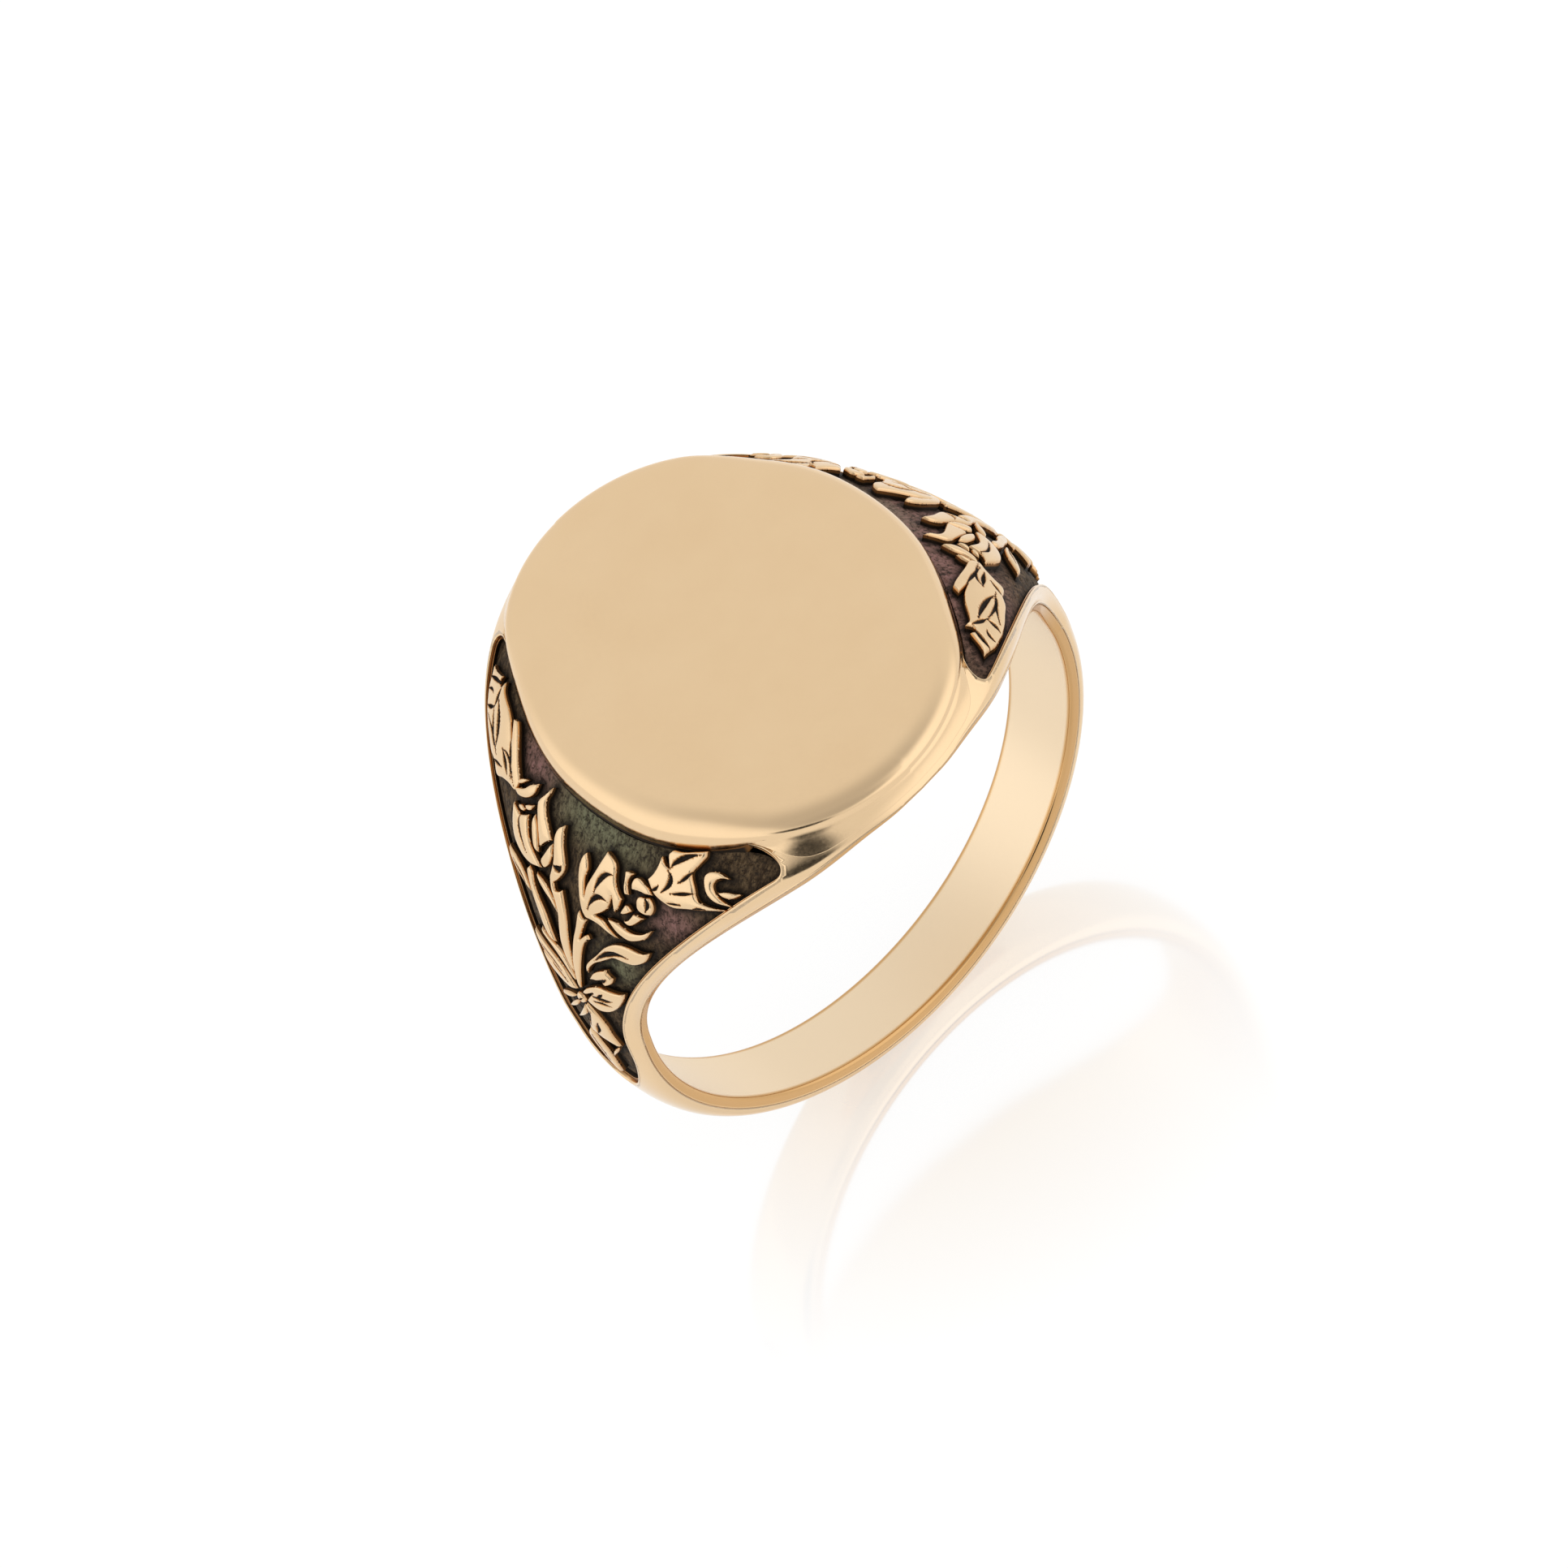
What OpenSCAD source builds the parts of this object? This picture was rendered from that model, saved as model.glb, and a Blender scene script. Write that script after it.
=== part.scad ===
// Signet ring: a domed gold band with a plain oval table and, on each shoulder,
// a sunk dark panel that carries a raised spray of flowers.
// Frame: origin at the centre of the finger bore, finger axis along Y, table facing +Z.
// Angles round the hoop run from 0 at the back of the shank to 180 under the table.
// The left shoulder lies towards -X. The right one is the left one turned half round about Z.

/* [Band] */
// Diameter of the finger bore
bore_d = 17.75; // [16.5:0.25:19]
// Width of the shank at its back, along the finger
shank_w = 2.55; // [2.2:0.05:3.2]
// Thickness of the shank at its crown
shank_t = 1.0; // [0.9:0.05:1.3]
// Thickness left at the two rims of the band
edge_t = 0.36; // [0.28:0.02:0.46]
// Width of the band where the shoulders start to flare
neck_w = 3.5; // [3.3:0.1:4.2]
// Width of the band under the table, along the finger
head_w = 16.6; // [16.4:0.1:17.4]
// Thickness of the shoulders beside the table
shoulder_t = 2.48; // [2.3:0.02:2.6]
// Angle round the hoop where the shoulders start to flare
flare_start = 94.5; // [92:0.5:97]
// Angle round the hoop where the flare reaches the full width
flare_end = 175; // [172:1:178]

/* [Table] */
// Length of the oval table, along the finger
table_l = 15.9; // [15.5:0.1:16.2]
// Width of the oval table, across the finger
table_w = 12.9; // [12.5:0.1:13.3]
// Radius of the oval's two end arcs
table_end_r = 5.6; // [5.4:0.1:5.8]
// Height of the table's top above the finger bore
table_rise = 1.05; // [1.0:0.05:1.2]
// Thickness of the table plate
table_t = 0.5; // [0.45:0.05:0.55]
// Radius of the table's soft upper rim
rim_r = 0.42; // [0.3:0.02:0.44]
// Distance from the table's outline to its locating plug
plug_inset = 1.2; // [0.9:0.1:2]
// Depth of the locating plug under the plate
plug_h = 0.2; // [0.15:0.01:0.22]
// Clearance round the plug in its socket
plug_clear = 0.02; // [0.01:0.01:0.05]

/* [Shoulder panels] */
// Angle round the hoop of the panel's lower tip
pocket_start = 77; // [74:1:80]
// Width of the plain rail beside the panel
rail_w = 0.3; // [0.25:0.01:0.4]
// Radius of the panel's upper corners
corner_r = 0.6; // [0.5:0.05:0.7]
// Height of the relief over the dark ground
relief_h = 0.32; // [0.26:0.02:0.36]
// Thickness of the dark ground plate
ground_t = 0.15; // [0.12:0.01:0.18]
// Clearance between the ground plate and the walls of its panel
ground_clear = 0.03; // [0.02:0.01:0.05]

/* [Flower spray] */
// Greatest width of a petal
petal_w = 0.42; // [0.36:0.02:0.46]
// Greatest width of a leaf
leaf_w = 0.46; // [0.4:0.02:0.5]
// Greatest width of a stem
stem_w = 0.32; // [0.26:0.02:0.36]
// Width of a petal, leaf or stem at its root
root_w = 0.12; // [0.1:0.01:0.14]
// Width of a petal or leaf at its tip
tip_w = 0.06; // [0.05:0.01:0.08]
// Thickness of the solder under the relief and under the ground plate
solder_t = 0.02; // [0.01:0.01:0.03]

/* [Hidden] */

gold = [0.89, 0.74, 0.49];
pale_gold = [0.91, 0.77, 0.57];
dark_ground = [0.16, 0.12, 0.10];

bore_r = bore_d / 2;
face_z = bore_r + table_rise;
seat_z = face_z - table_t;
pocket_depth = relief_h + ground_t + solder_t;

// The dome of the band: how it thickens towards the head, and how full its section is
rise_start = 88;
rise_end = 150;
rise_power = 1.3;
dome_power = 2.2;
// The flank falls away from the table's outline at 45 degrees, from just under the seat,
// and runs into the dome along a soft edge. It starts at this angle round the hoop.
shelf_drop = 0.06;
shelf_z = seat_z - shelf_drop;
flank_slope = 1;
flank_soft = 0.25;
flank_start = 100;
// The panel's lower end is half an ellipse, this many degrees long
tip_span = 15;
// Underside and top of a flower's backing plate as shares of the relief
backing_low = 0.25;
backing_high = 0.5;
// Height of a petal's or leaf's edges as a share of its ridge
edge_share = 0.8;
// Metal inside the bore line until the bore is cut
bore_stock = 0.4;
// How far a cut runs past the surface that it opens
cut_over = 0.6;
// How far each panel runs on under the table, where the pedestal under the table closes it
table_tuck = 0.35;
// Metal skimmed off the table's top
skim_t = 0.01;

function ease(t) = let (u = min(1, max(0, t))) u * u * (3 - 2 * u);

// Width of the band at an angle round the hoop
function band_w(a) =
    shank_w
    + (neck_w - shank_w) * pow(min(1, a / flare_start), 3)
    + (head_w - neck_w) * ease((a - flare_start) / (flare_end - flare_start));

// Thickness of the band at its crown
function crown_t(a) =
    let (t = min(1, max(0, (a - rise_start) / (rise_end - rise_start))))
    shank_t + (shoulder_t - shank_t) * pow(t, rise_power);

// Radius of the domed band at an angle and a place along the finger
function dome_r(a, y) =
    let (v = min(1, 2 * abs(y) / band_w(a)))
    bore_r + edge_t + (crown_t(a) - edge_t) * pow(1 - pow(v, dome_power), 1 / dome_power);

// The oval: two end arcs and two side arcs, each meeting the next without a corner
half_l = table_l / 2;
half_w = table_w / 2;
end_y = half_l - table_end_r;
side_gap = half_w - table_end_r;
side_x = (end_y * end_y - side_gap * side_gap) / (2 * side_gap);
side_r = half_w + side_x;
side_angle = atan2(end_y, side_x);
join_y = side_r * sin(side_angle);

// Distance of a point outside the oval
function oval_gap(x, y) =
    abs(y) * side_x > (side_x + abs(x)) * end_y
        ? norm([x, abs(y) - end_y]) - table_end_r
        : norm([abs(x) + side_x, y]) - side_r;

// Half width of the oval at a place along the finger
function oval_x(y) =
    abs(y) < join_y
        ? sqrt(side_r * side_r - y * y) - side_x
        : sqrt(max(0, pow(table_end_r, 2) - pow(abs(y) - end_y, 2)));

// Radius of the outer surface: the dome, or the flank round the table where that is lower
function soft_min(p, q) = (p + q - sqrt((p - q) * (p - q) + flank_soft * flank_soft)) / 2;
function flank_z(x, y) = shelf_z - flank_slope * max(0, oval_gap(x, y));
function flank_r(a, y, r, n) =
    n == 0
        ? r
        : flank_r(a, y, (r + soft_min(dome_r(a, y), flank_z(r * sin(a), y) / -cos(a))) / 2, n - 1);
function outer_r(a, y) = a < flank_start ? dome_r(a, y) : flank_r(a, y, dome_r(a, y), 6);

// Point of the left half of the hoop
function on_hoop(a, y, r) = [-r * sin(a), y, -r * cos(a)];

// Half width of the panel along its rail
function open_half(a) =
    let (t = min(1, max(0, (pocket_start + tip_span - a) / tip_span)))
    (band_w(a) / 2 - rail_w) * sqrt(1 - t * t);

// Angle at which the panel meets the table's outline, at a place along the finger
function table_a(y, gap = 0, n = 8, a = 146) =
    n == 0 ? a : table_a(y, gap, n - 1, (a + 180 - asin((oval_x(y) + gap) / outer_r(a, y))) / 2);
top_a = table_a(0);

// The panel's upper corner is a round end between the rail and the table, two radii wide.
// Places are [angle, along the finger], and angle_mm is a degree's length on the shoulder.
angle_mm = PI / 180 * (bore_r + shoulder_t);
function flat_unit(v) = let (f = [v[0] * angle_mm, v[1]]) [f[0] / angle_mm, f[1]] / norm(f);
function rail_way(a) = flat_unit([1, open_half(a + 0.5) - open_half(a - 0.5)]);
function table_way(y) = flat_unit([table_a(y + 0.05) - table_a(y - 0.05), 0.1]);
function across_end(a) =
    let (w = rail_way(a))
    [a, open_half(a)] + 2 * corner_r * [w[1] / angle_mm, -w[0] * angle_mm];
corner_a = max([for (a = [125:0.5:165]) let (p = across_end(a)) if (p[0] < table_a(p[1])) a]);
corner_y = across_end(corner_a)[1];

// Edge of the panel from its tip up the rail and round the corner, for t from 0 to 1
rail_share = 0.7;
spine_share = 0.85;
tip_step = 0.3;
function edge_at(t, gap, inset) =
    t < rail_share
        ? let (a = pocket_start + tip_step + (corner_a - pocket_start - tip_step) * t / rail_share)
          [a, open_half(a) - inset]
        : let (
              start = [corner_a, open_half(corner_a) - inset],
              finish = [table_a(corner_y, gap), corner_y],
              reach = 4 / 3 * (corner_r - inset)
          )
          round_at(
              start,
              start + reach * rail_way(corner_a),
              finish + reach * table_way(corner_y),
              finish,
              (t - rail_share) / (1 - rail_share)
          );
function round_at(p, b, c, q, t) =
    pow(1 - t, 3) * p + 3 * t * pow(1 - t, 2) * b + 3 * t * t * (1 - t) * c + pow(t, 3) * q;

// Angle on the panel's middle line, for t from 0 at the tip to 1 at the table
function spine_a(t, gap) =
    let (share = t < rail_share
        ? spine_share * t / rail_share
        : spine_share + (1 - spine_share) * (t - rail_share) / (1 - rail_share))
    pocket_start + tip_step + (table_a(0, gap) - pocket_start - tip_step) * share;

// Place in the panel: across from -1 to 1, up from 0 at the tip to 1 at the table
function panel_at(across, up, gap, inset) =
    let (
        u = abs(across),
        edge = edge_at(up, gap, inset),
        bow = table_a(u * corner_y, gap) - (1 - u) * table_a(0, gap) - u * table_a(corner_y, gap)
    )
    [(1 - u) * spine_a(up, gap) + u * edge[0] + up * bow, across * edge[1]];

// Solid between rows of points that all have the same number of points
module loft(rows, closed = false) {
    m = len(rows);
    n = len(rows[0]);
    sides = [
        for (i = [0:closed ? m - 1 : m - 2], j = [0:n - 1])
            let (p = i * n + j, q = i * n + (j + 1) % n)
            let (s = ((i + 1) % m) * n + (j + 1) % n, t = ((i + 1) % m) * n + j)
            each [[p, s, q], [p, t, s]]
    ];
    start = [for (j = [1:n - 2]) [0, j, j + 1]];
    finish = [for (j = [1:n - 2]) [(m - 1) * n, (m - 1) * n + j + 1, (m - 1) * n + j]];
    polyhedron([for (r = rows) each r], closed ? sides : concat(sides, start, finish));
}

// Sheet that covers one panel, from a depth under the outer surface to a height over it.
// The tuck carries the sheet on under the table.
module panel_sheet(drop, lift, gap, inset, tuck = 0) {
    columns = 12;
    steps = 20;
    places = concat(
        [for (k = [0:steps]) [for (j = [0:columns]) panel_at(2 * j / columns - 1, k / steps, gap, inset)]],
        tuck == 0 ? [] : [[for (j = [0:columns]) panel_at(2 * j / columns - 1, 1, gap - tuck, inset)]]
    );
    rows = [
        for (row = places)
            concat(
                [for (p = row) on_hoop(p[0], p[1], outer_r(p[0], abs(p[1])) - drop)],
                [for (j = [columns:-1:0]) let (p = row[j]) on_hoop(p[0], p[1], outer_r(p[0], abs(p[1])) + lift)]
            )
    ];
    n = columns + 1;
    m = len(rows);
    points = [for (r = rows) each r];
    sides = [
        for (i = [0:m - 2], j = [0:2 * n - 1])
            let (p = i * 2 * n + j, q = i * 2 * n + (j + 1) % (2 * n))
            each [[p, q + 2 * n, q], [p, p + 2 * n, q + 2 * n]]
    ];
    ends = [
        for (j = [0:n - 2])
            let (p = j, q = j + 1, s = 2 * n - 2 - j, t = 2 * n - 1 - j, o = (m - 1) * 2 * n)
            each [[p, q, s], [p, s, t], [o + p, o + s, o + q], [o + p, o + t, o + s]]
    ];
    polyhedron(points, concat(sides, ends));
}

// Points round the oval, moved inwards by an inset
arc_steps = 18;
function arc_points(centre, r, from, to) =
    [for (k = [0:arc_steps - 1]) let (t = from + (to - from) * k / arc_steps) centre + r * [cos(t), sin(t)]];
function oval_points(inset) =
    concat(
        arc_points([-side_x, 0], side_r - inset, -side_angle, side_angle),
        arc_points([0, end_y], table_end_r - inset, side_angle, 180 - side_angle),
        arc_points([side_x, 0], side_r - inset, 180 - side_angle, 180 + side_angle),
        arc_points([0, -end_y], table_end_r - inset, 180 + side_angle, 360 - side_angle)
    );

// Oval plate with upright walls
module oval_plate(inset, z0, z1) {
    translate([0, 0, z0])
    linear_extrude(z1 - z0)
    polygon(oval_points(inset));
}

// Angle at which the table's outline crosses the line at one share of the band's half width
function top_at(across, n = 8, a = 150) =
    n == 0 ? a : top_at(across, n - 1, (a + table_a(across * band_w(a) / 2)) / 2);

// Petal, leaf or stem that runs through three places in the panel, given as shares:
// across, of the half width of the band there, and up, from the panel's tip to the table on that line
module blade(from, by, to, widths, low = solder_t, high = relief_h) {
    steps = 5;
    bend = 2 * by - (from + to) / 2;
    loft([for (k = [0:steps]) blade_section(from, bend, to, k / steps, widths, low, high)]);
}

function curve_at(p, b, q, t) = (1 - t) * (1 - t) * p + 2 * t * (1 - t) * b + t * t * q;
function blade_place(p) =
    let (a = pocket_start + p[1] * (top_at(abs(p[0])) - pocket_start))
    [a * PI / 180 * bore_r, p[0] * band_w(a) / 2];
function blade_width(t, w) =
    t < 0.5
        ? w[0] + (w[1] - w[0]) * sin(180 * t)
        : w[2] + (w[1] - w[2]) * sin(180 * t);
function blade_section(from, bend, to, t, widths, low, high) =
    let (
        c = blade_place(curve_at(from, bend, to, t)),
        ahead = blade_place(curve_at(from, bend, to, t + 0.01)),
        back = blade_place(curve_at(from, bend, to, t - 0.01)),
        along = (ahead - back) / norm(ahead - back),
        side = [-along[1], along[0]] * blade_width(t, widths) / 2
    )
    [
        blade_point(c + side, low),
        blade_point(c + side, edge_share * high),
        blade_point(c, high),
        blade_point(c - side, edge_share * high),
        blade_point(c - side, low)
    ];
function blade_point(c, h) =
    let (a = c[0] * 180 / PI / bore_r)
    on_hoop(a, c[1], outer_r(a, c[1]) - relief_h + h);

module petal(from, by, to, size = 1) {
    blade(from, by, to, [root_w, petal_w * size, tip_w]);
}

// Low plate that joins the petals of one flower, clear of the ground under it
module backing(from, by, to, width) {
    blade(from, by, to, [root_w, width, root_w], backing_low * relief_h, backing_high * relief_h);
}

module leaf(from, by, to, size = 1) {
    blade(from, by, to, [tip_w, leaf_w * size, tip_w]);
}

module stem(from, by, to, size = 1) {
    blade(from, by, to, [root_w, stem_w * size, stem_w * size]);
}

// Gold band: shank, shoulders and head in one piece, with the two sunk panels and the table's seat
module band() {
    half_angles = [for (a = [0:5:75]) a, for (a = [78:3:126]) a, for (a = [128:2:180]) a];
    angles = concat(half_angles, [for (i = [len(half_angles) - 2:-1:1]) -half_angles[i]]);
    stations = [for (j = [-8:8]) sin(90 * j / 8)];
    inner_r = bore_r - bore_stock;
    rows = [
        for (a = angles)
            let (h = band_w(abs(a)) / 2)
            concat(
                [for (v = stations) on_hoop(-a, v * h, outer_r(abs(a), v * h))],
                [on_hoop(-a, h, inner_r), on_hoop(-a, -h, inner_r)]
            )
    ];
    color(gold)
    difference() {
        union() {
            difference() {
                loft(rows, closed = true);
                for (turn = [0, 180])
                    rotate([0, 0, turn])
                    panel_sheet(pocket_depth, cut_over, 0, 0, table_tuck);
            }
            oval_plate(0, inner_r, seat_z);
        }
        rotate([90, 0, 0])
        cylinder(r = bore_r, h = head_w + 2 * cut_over, center = true, $fn = 128);
        oval_plate(plug_inset - plug_clear, seat_z - plug_h - plug_clear, seat_z + cut_over);
    }
}

// Plain oval table with a soft rim, located by a plug under it and skimmed flat on top
module signet_table() {
    round_steps = 6;
    profile = concat(
        [[plug_inset, seat_z - plug_h], [plug_inset, seat_z], [0, seat_z]],
        [
            for (k = [0:round_steps])
                let (t = 90 * k / round_steps)
                [rim_r * (1 - cos(t)), face_z - rim_r + (rim_r - skim_t) * sin(t)]
        ],
        [[2 * rim_r, face_z + skim_t]]
    );
    color(pale_gold)
    difference() {
        loft([for (p = profile) [for (q = oval_points(p[0])) [q[0], q[1], p[1]]]]);
        translate([-table_w, -table_l, face_z])
        cube([2 * table_w, 2 * table_l, cut_over]);
    }
}

// Darkened ground plate that lies in a shoulder panel
module ground() {
    depth = relief_h + ground_t;
    color(dark_ground)
    panel_sheet(depth, -relief_h, ground_clear + depth * sin(top_a), ground_clear);
}

// Trumpet flower with a rolled lip at the front corner of the panel
module bell_flower() {
    color(gold) {
        backing([-0.52, 0.866], [-0.7, 0.86], [-0.85, 0.826], 1.3);
        petal([-0.545, 0.861], [-0.56, 0.884], [-0.52, 0.931]);
        petal([-0.57, 0.91], [-0.59, 0.935], [-0.66, 0.962], 1.2);
        petal([-0.62, 0.858], [-0.66, 0.887], [-0.68, 0.937]);
        petal([-0.63, 0.838], [-0.7, 0.841], [-0.74, 0.86], 0.85);
        petal([-0.6, 0.84], [-0.77, 0.797], [-0.93, 0.723]);
        petal([-0.82, 0.873], [-0.75, 0.876], [-0.92, 0.745]);
        petal([-0.82, 0.842], [-0.87, 0.819], [-0.91, 0.791], 0.6);
    }
}

// Open rose with upright petals
module rose_bloom() {
    color(gold) {
        backing([-0.67, 0.73], [-0.39, 0.773], [-0.11, 0.804], 1.5);
        petal([-0.71, 0.714], [-0.61, 0.69], [-0.38, 0.728]);
        petal([-0.2, 0.719], [-0.37, 0.704], [-0.55, 0.669], 0.6);
        petal([-0.64, 0.746], [-0.58, 0.731], [-0.48, 0.737], 0.85);
        petal([-0.52, 0.772], [-0.48, 0.764], [-0.44, 0.754], 0.65);
        petal([-0.65, 0.768], [-0.58, 0.789], [-0.52, 0.808], 1.1);
        petal([-0.58, 0.809], [-0.51, 0.839], [-0.45, 0.83], 0.9);
        petal([-0.4, 0.868], [-0.41, 0.841], [-0.46, 0.809], 0.65);
        petal([-0.23, 0.742], [-0.3, 0.8], [-0.25, 0.898], 1.45);
        petal([-0.39, 0.747], [-0.42, 0.784], [-0.35, 0.842], 0.7);
        petal([-0.18, 0.734], [-0.13, 0.791], [-0.09, 0.872], 0.85);
    }
}

// Half-open flower beside the middle leaf
module side_bloom() {
    color(gold) {
        backing([0.2, 0.804], [0.36, 0.812], [0.52, 0.841], 1.4);
        petal([0.22, 0.837], [0.32, 0.87], [0.27, 0.949]);
        petal([0.3, 0.756], [0.255, 0.791], [0.2, 0.829], 0.9);
        petal([0.34, 0.774], [0.35, 0.814], [0.37, 0.854], 0.8);
        petal([0.31, 0.744], [0.47, 0.756], [0.49, 0.822], 1.05);
        petal([0.49, 0.718], [0.61, 0.747], [0.58, 0.842], 0.95);
        petal([0.59, 0.838], [0.46, 0.881], [0.38, 0.916]);
        petal([0.41, 0.863], [0.49, 0.843], [0.58, 0.833], 0.6);
    }
}

// Tulip at the back corner of the panel
module tulip() {
    color(gold) {
        backing([0.6, 0.865], [0.71, 0.894], [0.79, 0.922], 1.3);
        petal([0.59, 0.854], [0.58, 0.915], [0.63, 0.971], 1.1);
        petal([0.65, 0.861], [0.69, 0.908], [0.68, 0.969], 1.15);
        petal([0.73, 0.852], [0.77, 0.891], [0.72, 0.975], 0.85);
        petal([0.71, 0.843], [0.83, 0.829], [0.91, 0.802]);
        petal([0.82, 0.868], [0.83, 0.895], [0.79, 0.954], 1.3);
        petal([0.62, 0.836], [0.7, 0.826], [0.81, 0.798], 0.8);
    }
}

module rose_stem() {
    color(gold) {
        stem([-0.13, 0.444], [-0.17, 0.573], [-0.18, 0.713]);
        leaf([-0.17, 0.603], [-0.24, 0.632], [-0.29, 0.655], 0.55);
    }
}

module middle_leaf() {
    color(gold) {
        stem([-0.05, 0.515], [0.04, 0.615], [0.09, 0.725]);
        leaf([0.09, 0.709], [0.16, 0.766], [0.12, 0.823], 0.8);
        leaf([0.12, 0.803], [0.14, 0.86], [0.09, 0.915]);
    }
}

module side_stem() {
    color(gold)
    leaf([0.14, 0.682], [0.22, 0.709], [0.36, 0.717], 0.5);
}

module far_stem() {
    color(gold)
    stem([0.19, 0.583], [0.32, 0.637], [0.46, 0.708]);
}

module far_leaf() {
    color(gold)
    leaf([0.43, 0.644], [0.62, 0.651], [0.77, 0.654], 1.1);
}

module branch_leaf() {
    color(gold)
    leaf([0.03, 0.505], [0.17, 0.553], [0.44, 0.57], 0.55);
}

module far_bow_leaf() {
    color(gold) {
        leaf([-0.02, 0.438], [0.2, 0.509], [0.54, 0.52]);
        leaf([-0.02, 0.438], [0.22, 0.459], [0.48, 0.461], 0.8);
    }
}

module scroll_leaf() {
    color(gold) {
        leaf([-0.29, 0.549], [-0.42, 0.625], [-0.77, 0.611]);
        leaf([-0.32, 0.519], [-0.42, 0.58], [-0.74, 0.588], 0.6);
    }
}

module small_leaf() {
    color(gold) {
        leaf([-0.38, 0.517], [-0.46, 0.535], [-0.56, 0.541], 0.7);
        leaf([-0.38, 0.515], [-0.5, 0.518], [-0.63, 0.514], 0.6);
    }
}

module bow_leaf() {
    color(gold) {
        leaf([-0.2, 0.437], [-0.41, 0.479], [-0.79, 0.448]);
        leaf([-0.2, 0.437], [-0.56, 0.41], [-0.76, 0.427], 1.05);
    }
}

module knot() {
    color(gold)
    stem([-0.15, 0.436], [-0.12, 0.427], [-0.08, 0.417]);
}

module lower_leaves() {
    color(gold) {
        backing([-0.3, 0.38], [-0.05, 0.386], [0.27, 0.392], 0.36);
        leaf([-0.25, 0.396], [-0.44, 0.333], [-0.68, 0.237]);
        leaf([-0.2, 0.385], [-0.23, 0.341], [-0.21, 0.295], 0.5);
        leaf([-0.1, 0.391], [0, 0.35], [0.24, 0.286], 0.65);
        leaf([0.02, 0.402], [0.16, 0.376], [0.39, 0.32], 0.55);
        leaf([0.08, 0.413], [0.26, 0.395], [0.49, 0.36], 0.55);
    }
}

module tail_leaf() {
    color(gold) {
        leaf([-0.04, 0.3], [-0.14, 0.209], [-0.17, 0.101]);
        leaf([-0.58, 0.222], [-0.43, 0.189], [-0.25, 0.153], 0.35);
    }
}

module on_right() {
    rotate([0, 0, 180])
    children();
}

band();
signet_table();
ground();  // left_ground
bell_flower();  // left_bell_flower
rose_bloom();  // left_rose_bloom
side_bloom();  // left_side_bloom
tulip();  // left_tulip
rose_stem();  // left_rose_stem
middle_leaf();  // left_middle_leaf
side_stem();  // left_side_stem
far_stem();  // left_far_stem
far_leaf();  // left_far_leaf
branch_leaf();  // left_branch_leaf
far_bow_leaf();  // left_far_bow_leaf
scroll_leaf();  // left_scroll_leaf
small_leaf();  // left_small_leaf
bow_leaf();  // left_bow_leaf
knot();  // left_knot
lower_leaves();  // left_lower_leaves
tail_leaf();  // left_tail_leaf
on_right() ground();  // right_ground
on_right() bell_flower();  // right_bell_flower
on_right() rose_bloom();  // right_rose_bloom
on_right() side_bloom();  // right_side_bloom
on_right() tulip();  // right_tulip
on_right() rose_stem();  // right_rose_stem
on_right() middle_leaf();  // right_middle_leaf
on_right() side_stem();  // right_side_stem
on_right() far_stem();  // right_far_stem
on_right() far_leaf();  // right_far_leaf
on_right() branch_leaf();  // right_branch_leaf
on_right() far_bow_leaf();  // right_far_bow_leaf
on_right() scroll_leaf();  // right_scroll_leaf
on_right() small_leaf();  // right_small_leaf
on_right() bow_leaf();  // right_bow_leaf
on_right() knot();  // right_knot
on_right() lower_leaves();  // right_lower_leaves
on_right() tail_leaf();  // right_tail_leaf
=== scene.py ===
import math

import bpy
import numpy as np
from mathutils import Matrix, Vector, noise
from mathutils.geometry import delaunay_2d_cdt
from mathutils.kdtree import KDTree


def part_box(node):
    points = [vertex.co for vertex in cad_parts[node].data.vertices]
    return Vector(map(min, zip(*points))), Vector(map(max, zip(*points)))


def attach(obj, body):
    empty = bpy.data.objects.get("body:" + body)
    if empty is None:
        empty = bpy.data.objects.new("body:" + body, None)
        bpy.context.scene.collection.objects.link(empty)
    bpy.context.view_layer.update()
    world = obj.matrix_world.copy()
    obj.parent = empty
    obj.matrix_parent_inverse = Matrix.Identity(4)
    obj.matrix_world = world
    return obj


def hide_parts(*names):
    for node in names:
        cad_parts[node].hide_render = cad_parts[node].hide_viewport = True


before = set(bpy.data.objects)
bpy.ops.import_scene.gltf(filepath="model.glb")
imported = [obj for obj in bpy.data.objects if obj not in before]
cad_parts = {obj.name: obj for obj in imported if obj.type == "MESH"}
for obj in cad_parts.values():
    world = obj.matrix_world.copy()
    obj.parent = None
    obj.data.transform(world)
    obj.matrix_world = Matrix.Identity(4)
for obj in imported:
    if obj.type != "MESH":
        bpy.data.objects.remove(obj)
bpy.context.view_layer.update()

# Sizes are in millimetres and angles in degrees, as in the part's source.
# Angles round the hoop run from 0 at the back of the shank to 180 under the table.
MM = 0.001

# The table's and the head's sizes, from the frame, and the bore
HALF_W, HALF_L, FACE_Z = (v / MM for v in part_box("signet_table")[1])
HEAD_W = 2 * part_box("band")[1].y / MM
BORE_R = 8.875

# The band's section and flare
SHANK_W, NECK_W, NECK_POWER = 2.55, 3.5, 3
SHANK_T, SHOULDER_T, EDGE_T = 1.0, 2.48, 0.36
FLARE_START, FLARE_END = 94.5, 175
TRIM_A, TRIM_SPAN, TRIM_W = 166, 9, 0.3
RISE_START, RISE_END, RISE_POWER, RISE_SOFT = 88, 150, 1.3, 0.06
DOME_POWER = 2.2
BORE_EDGE_R, BORE_EDGE_SHARE = 0.14, 0.45

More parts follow.
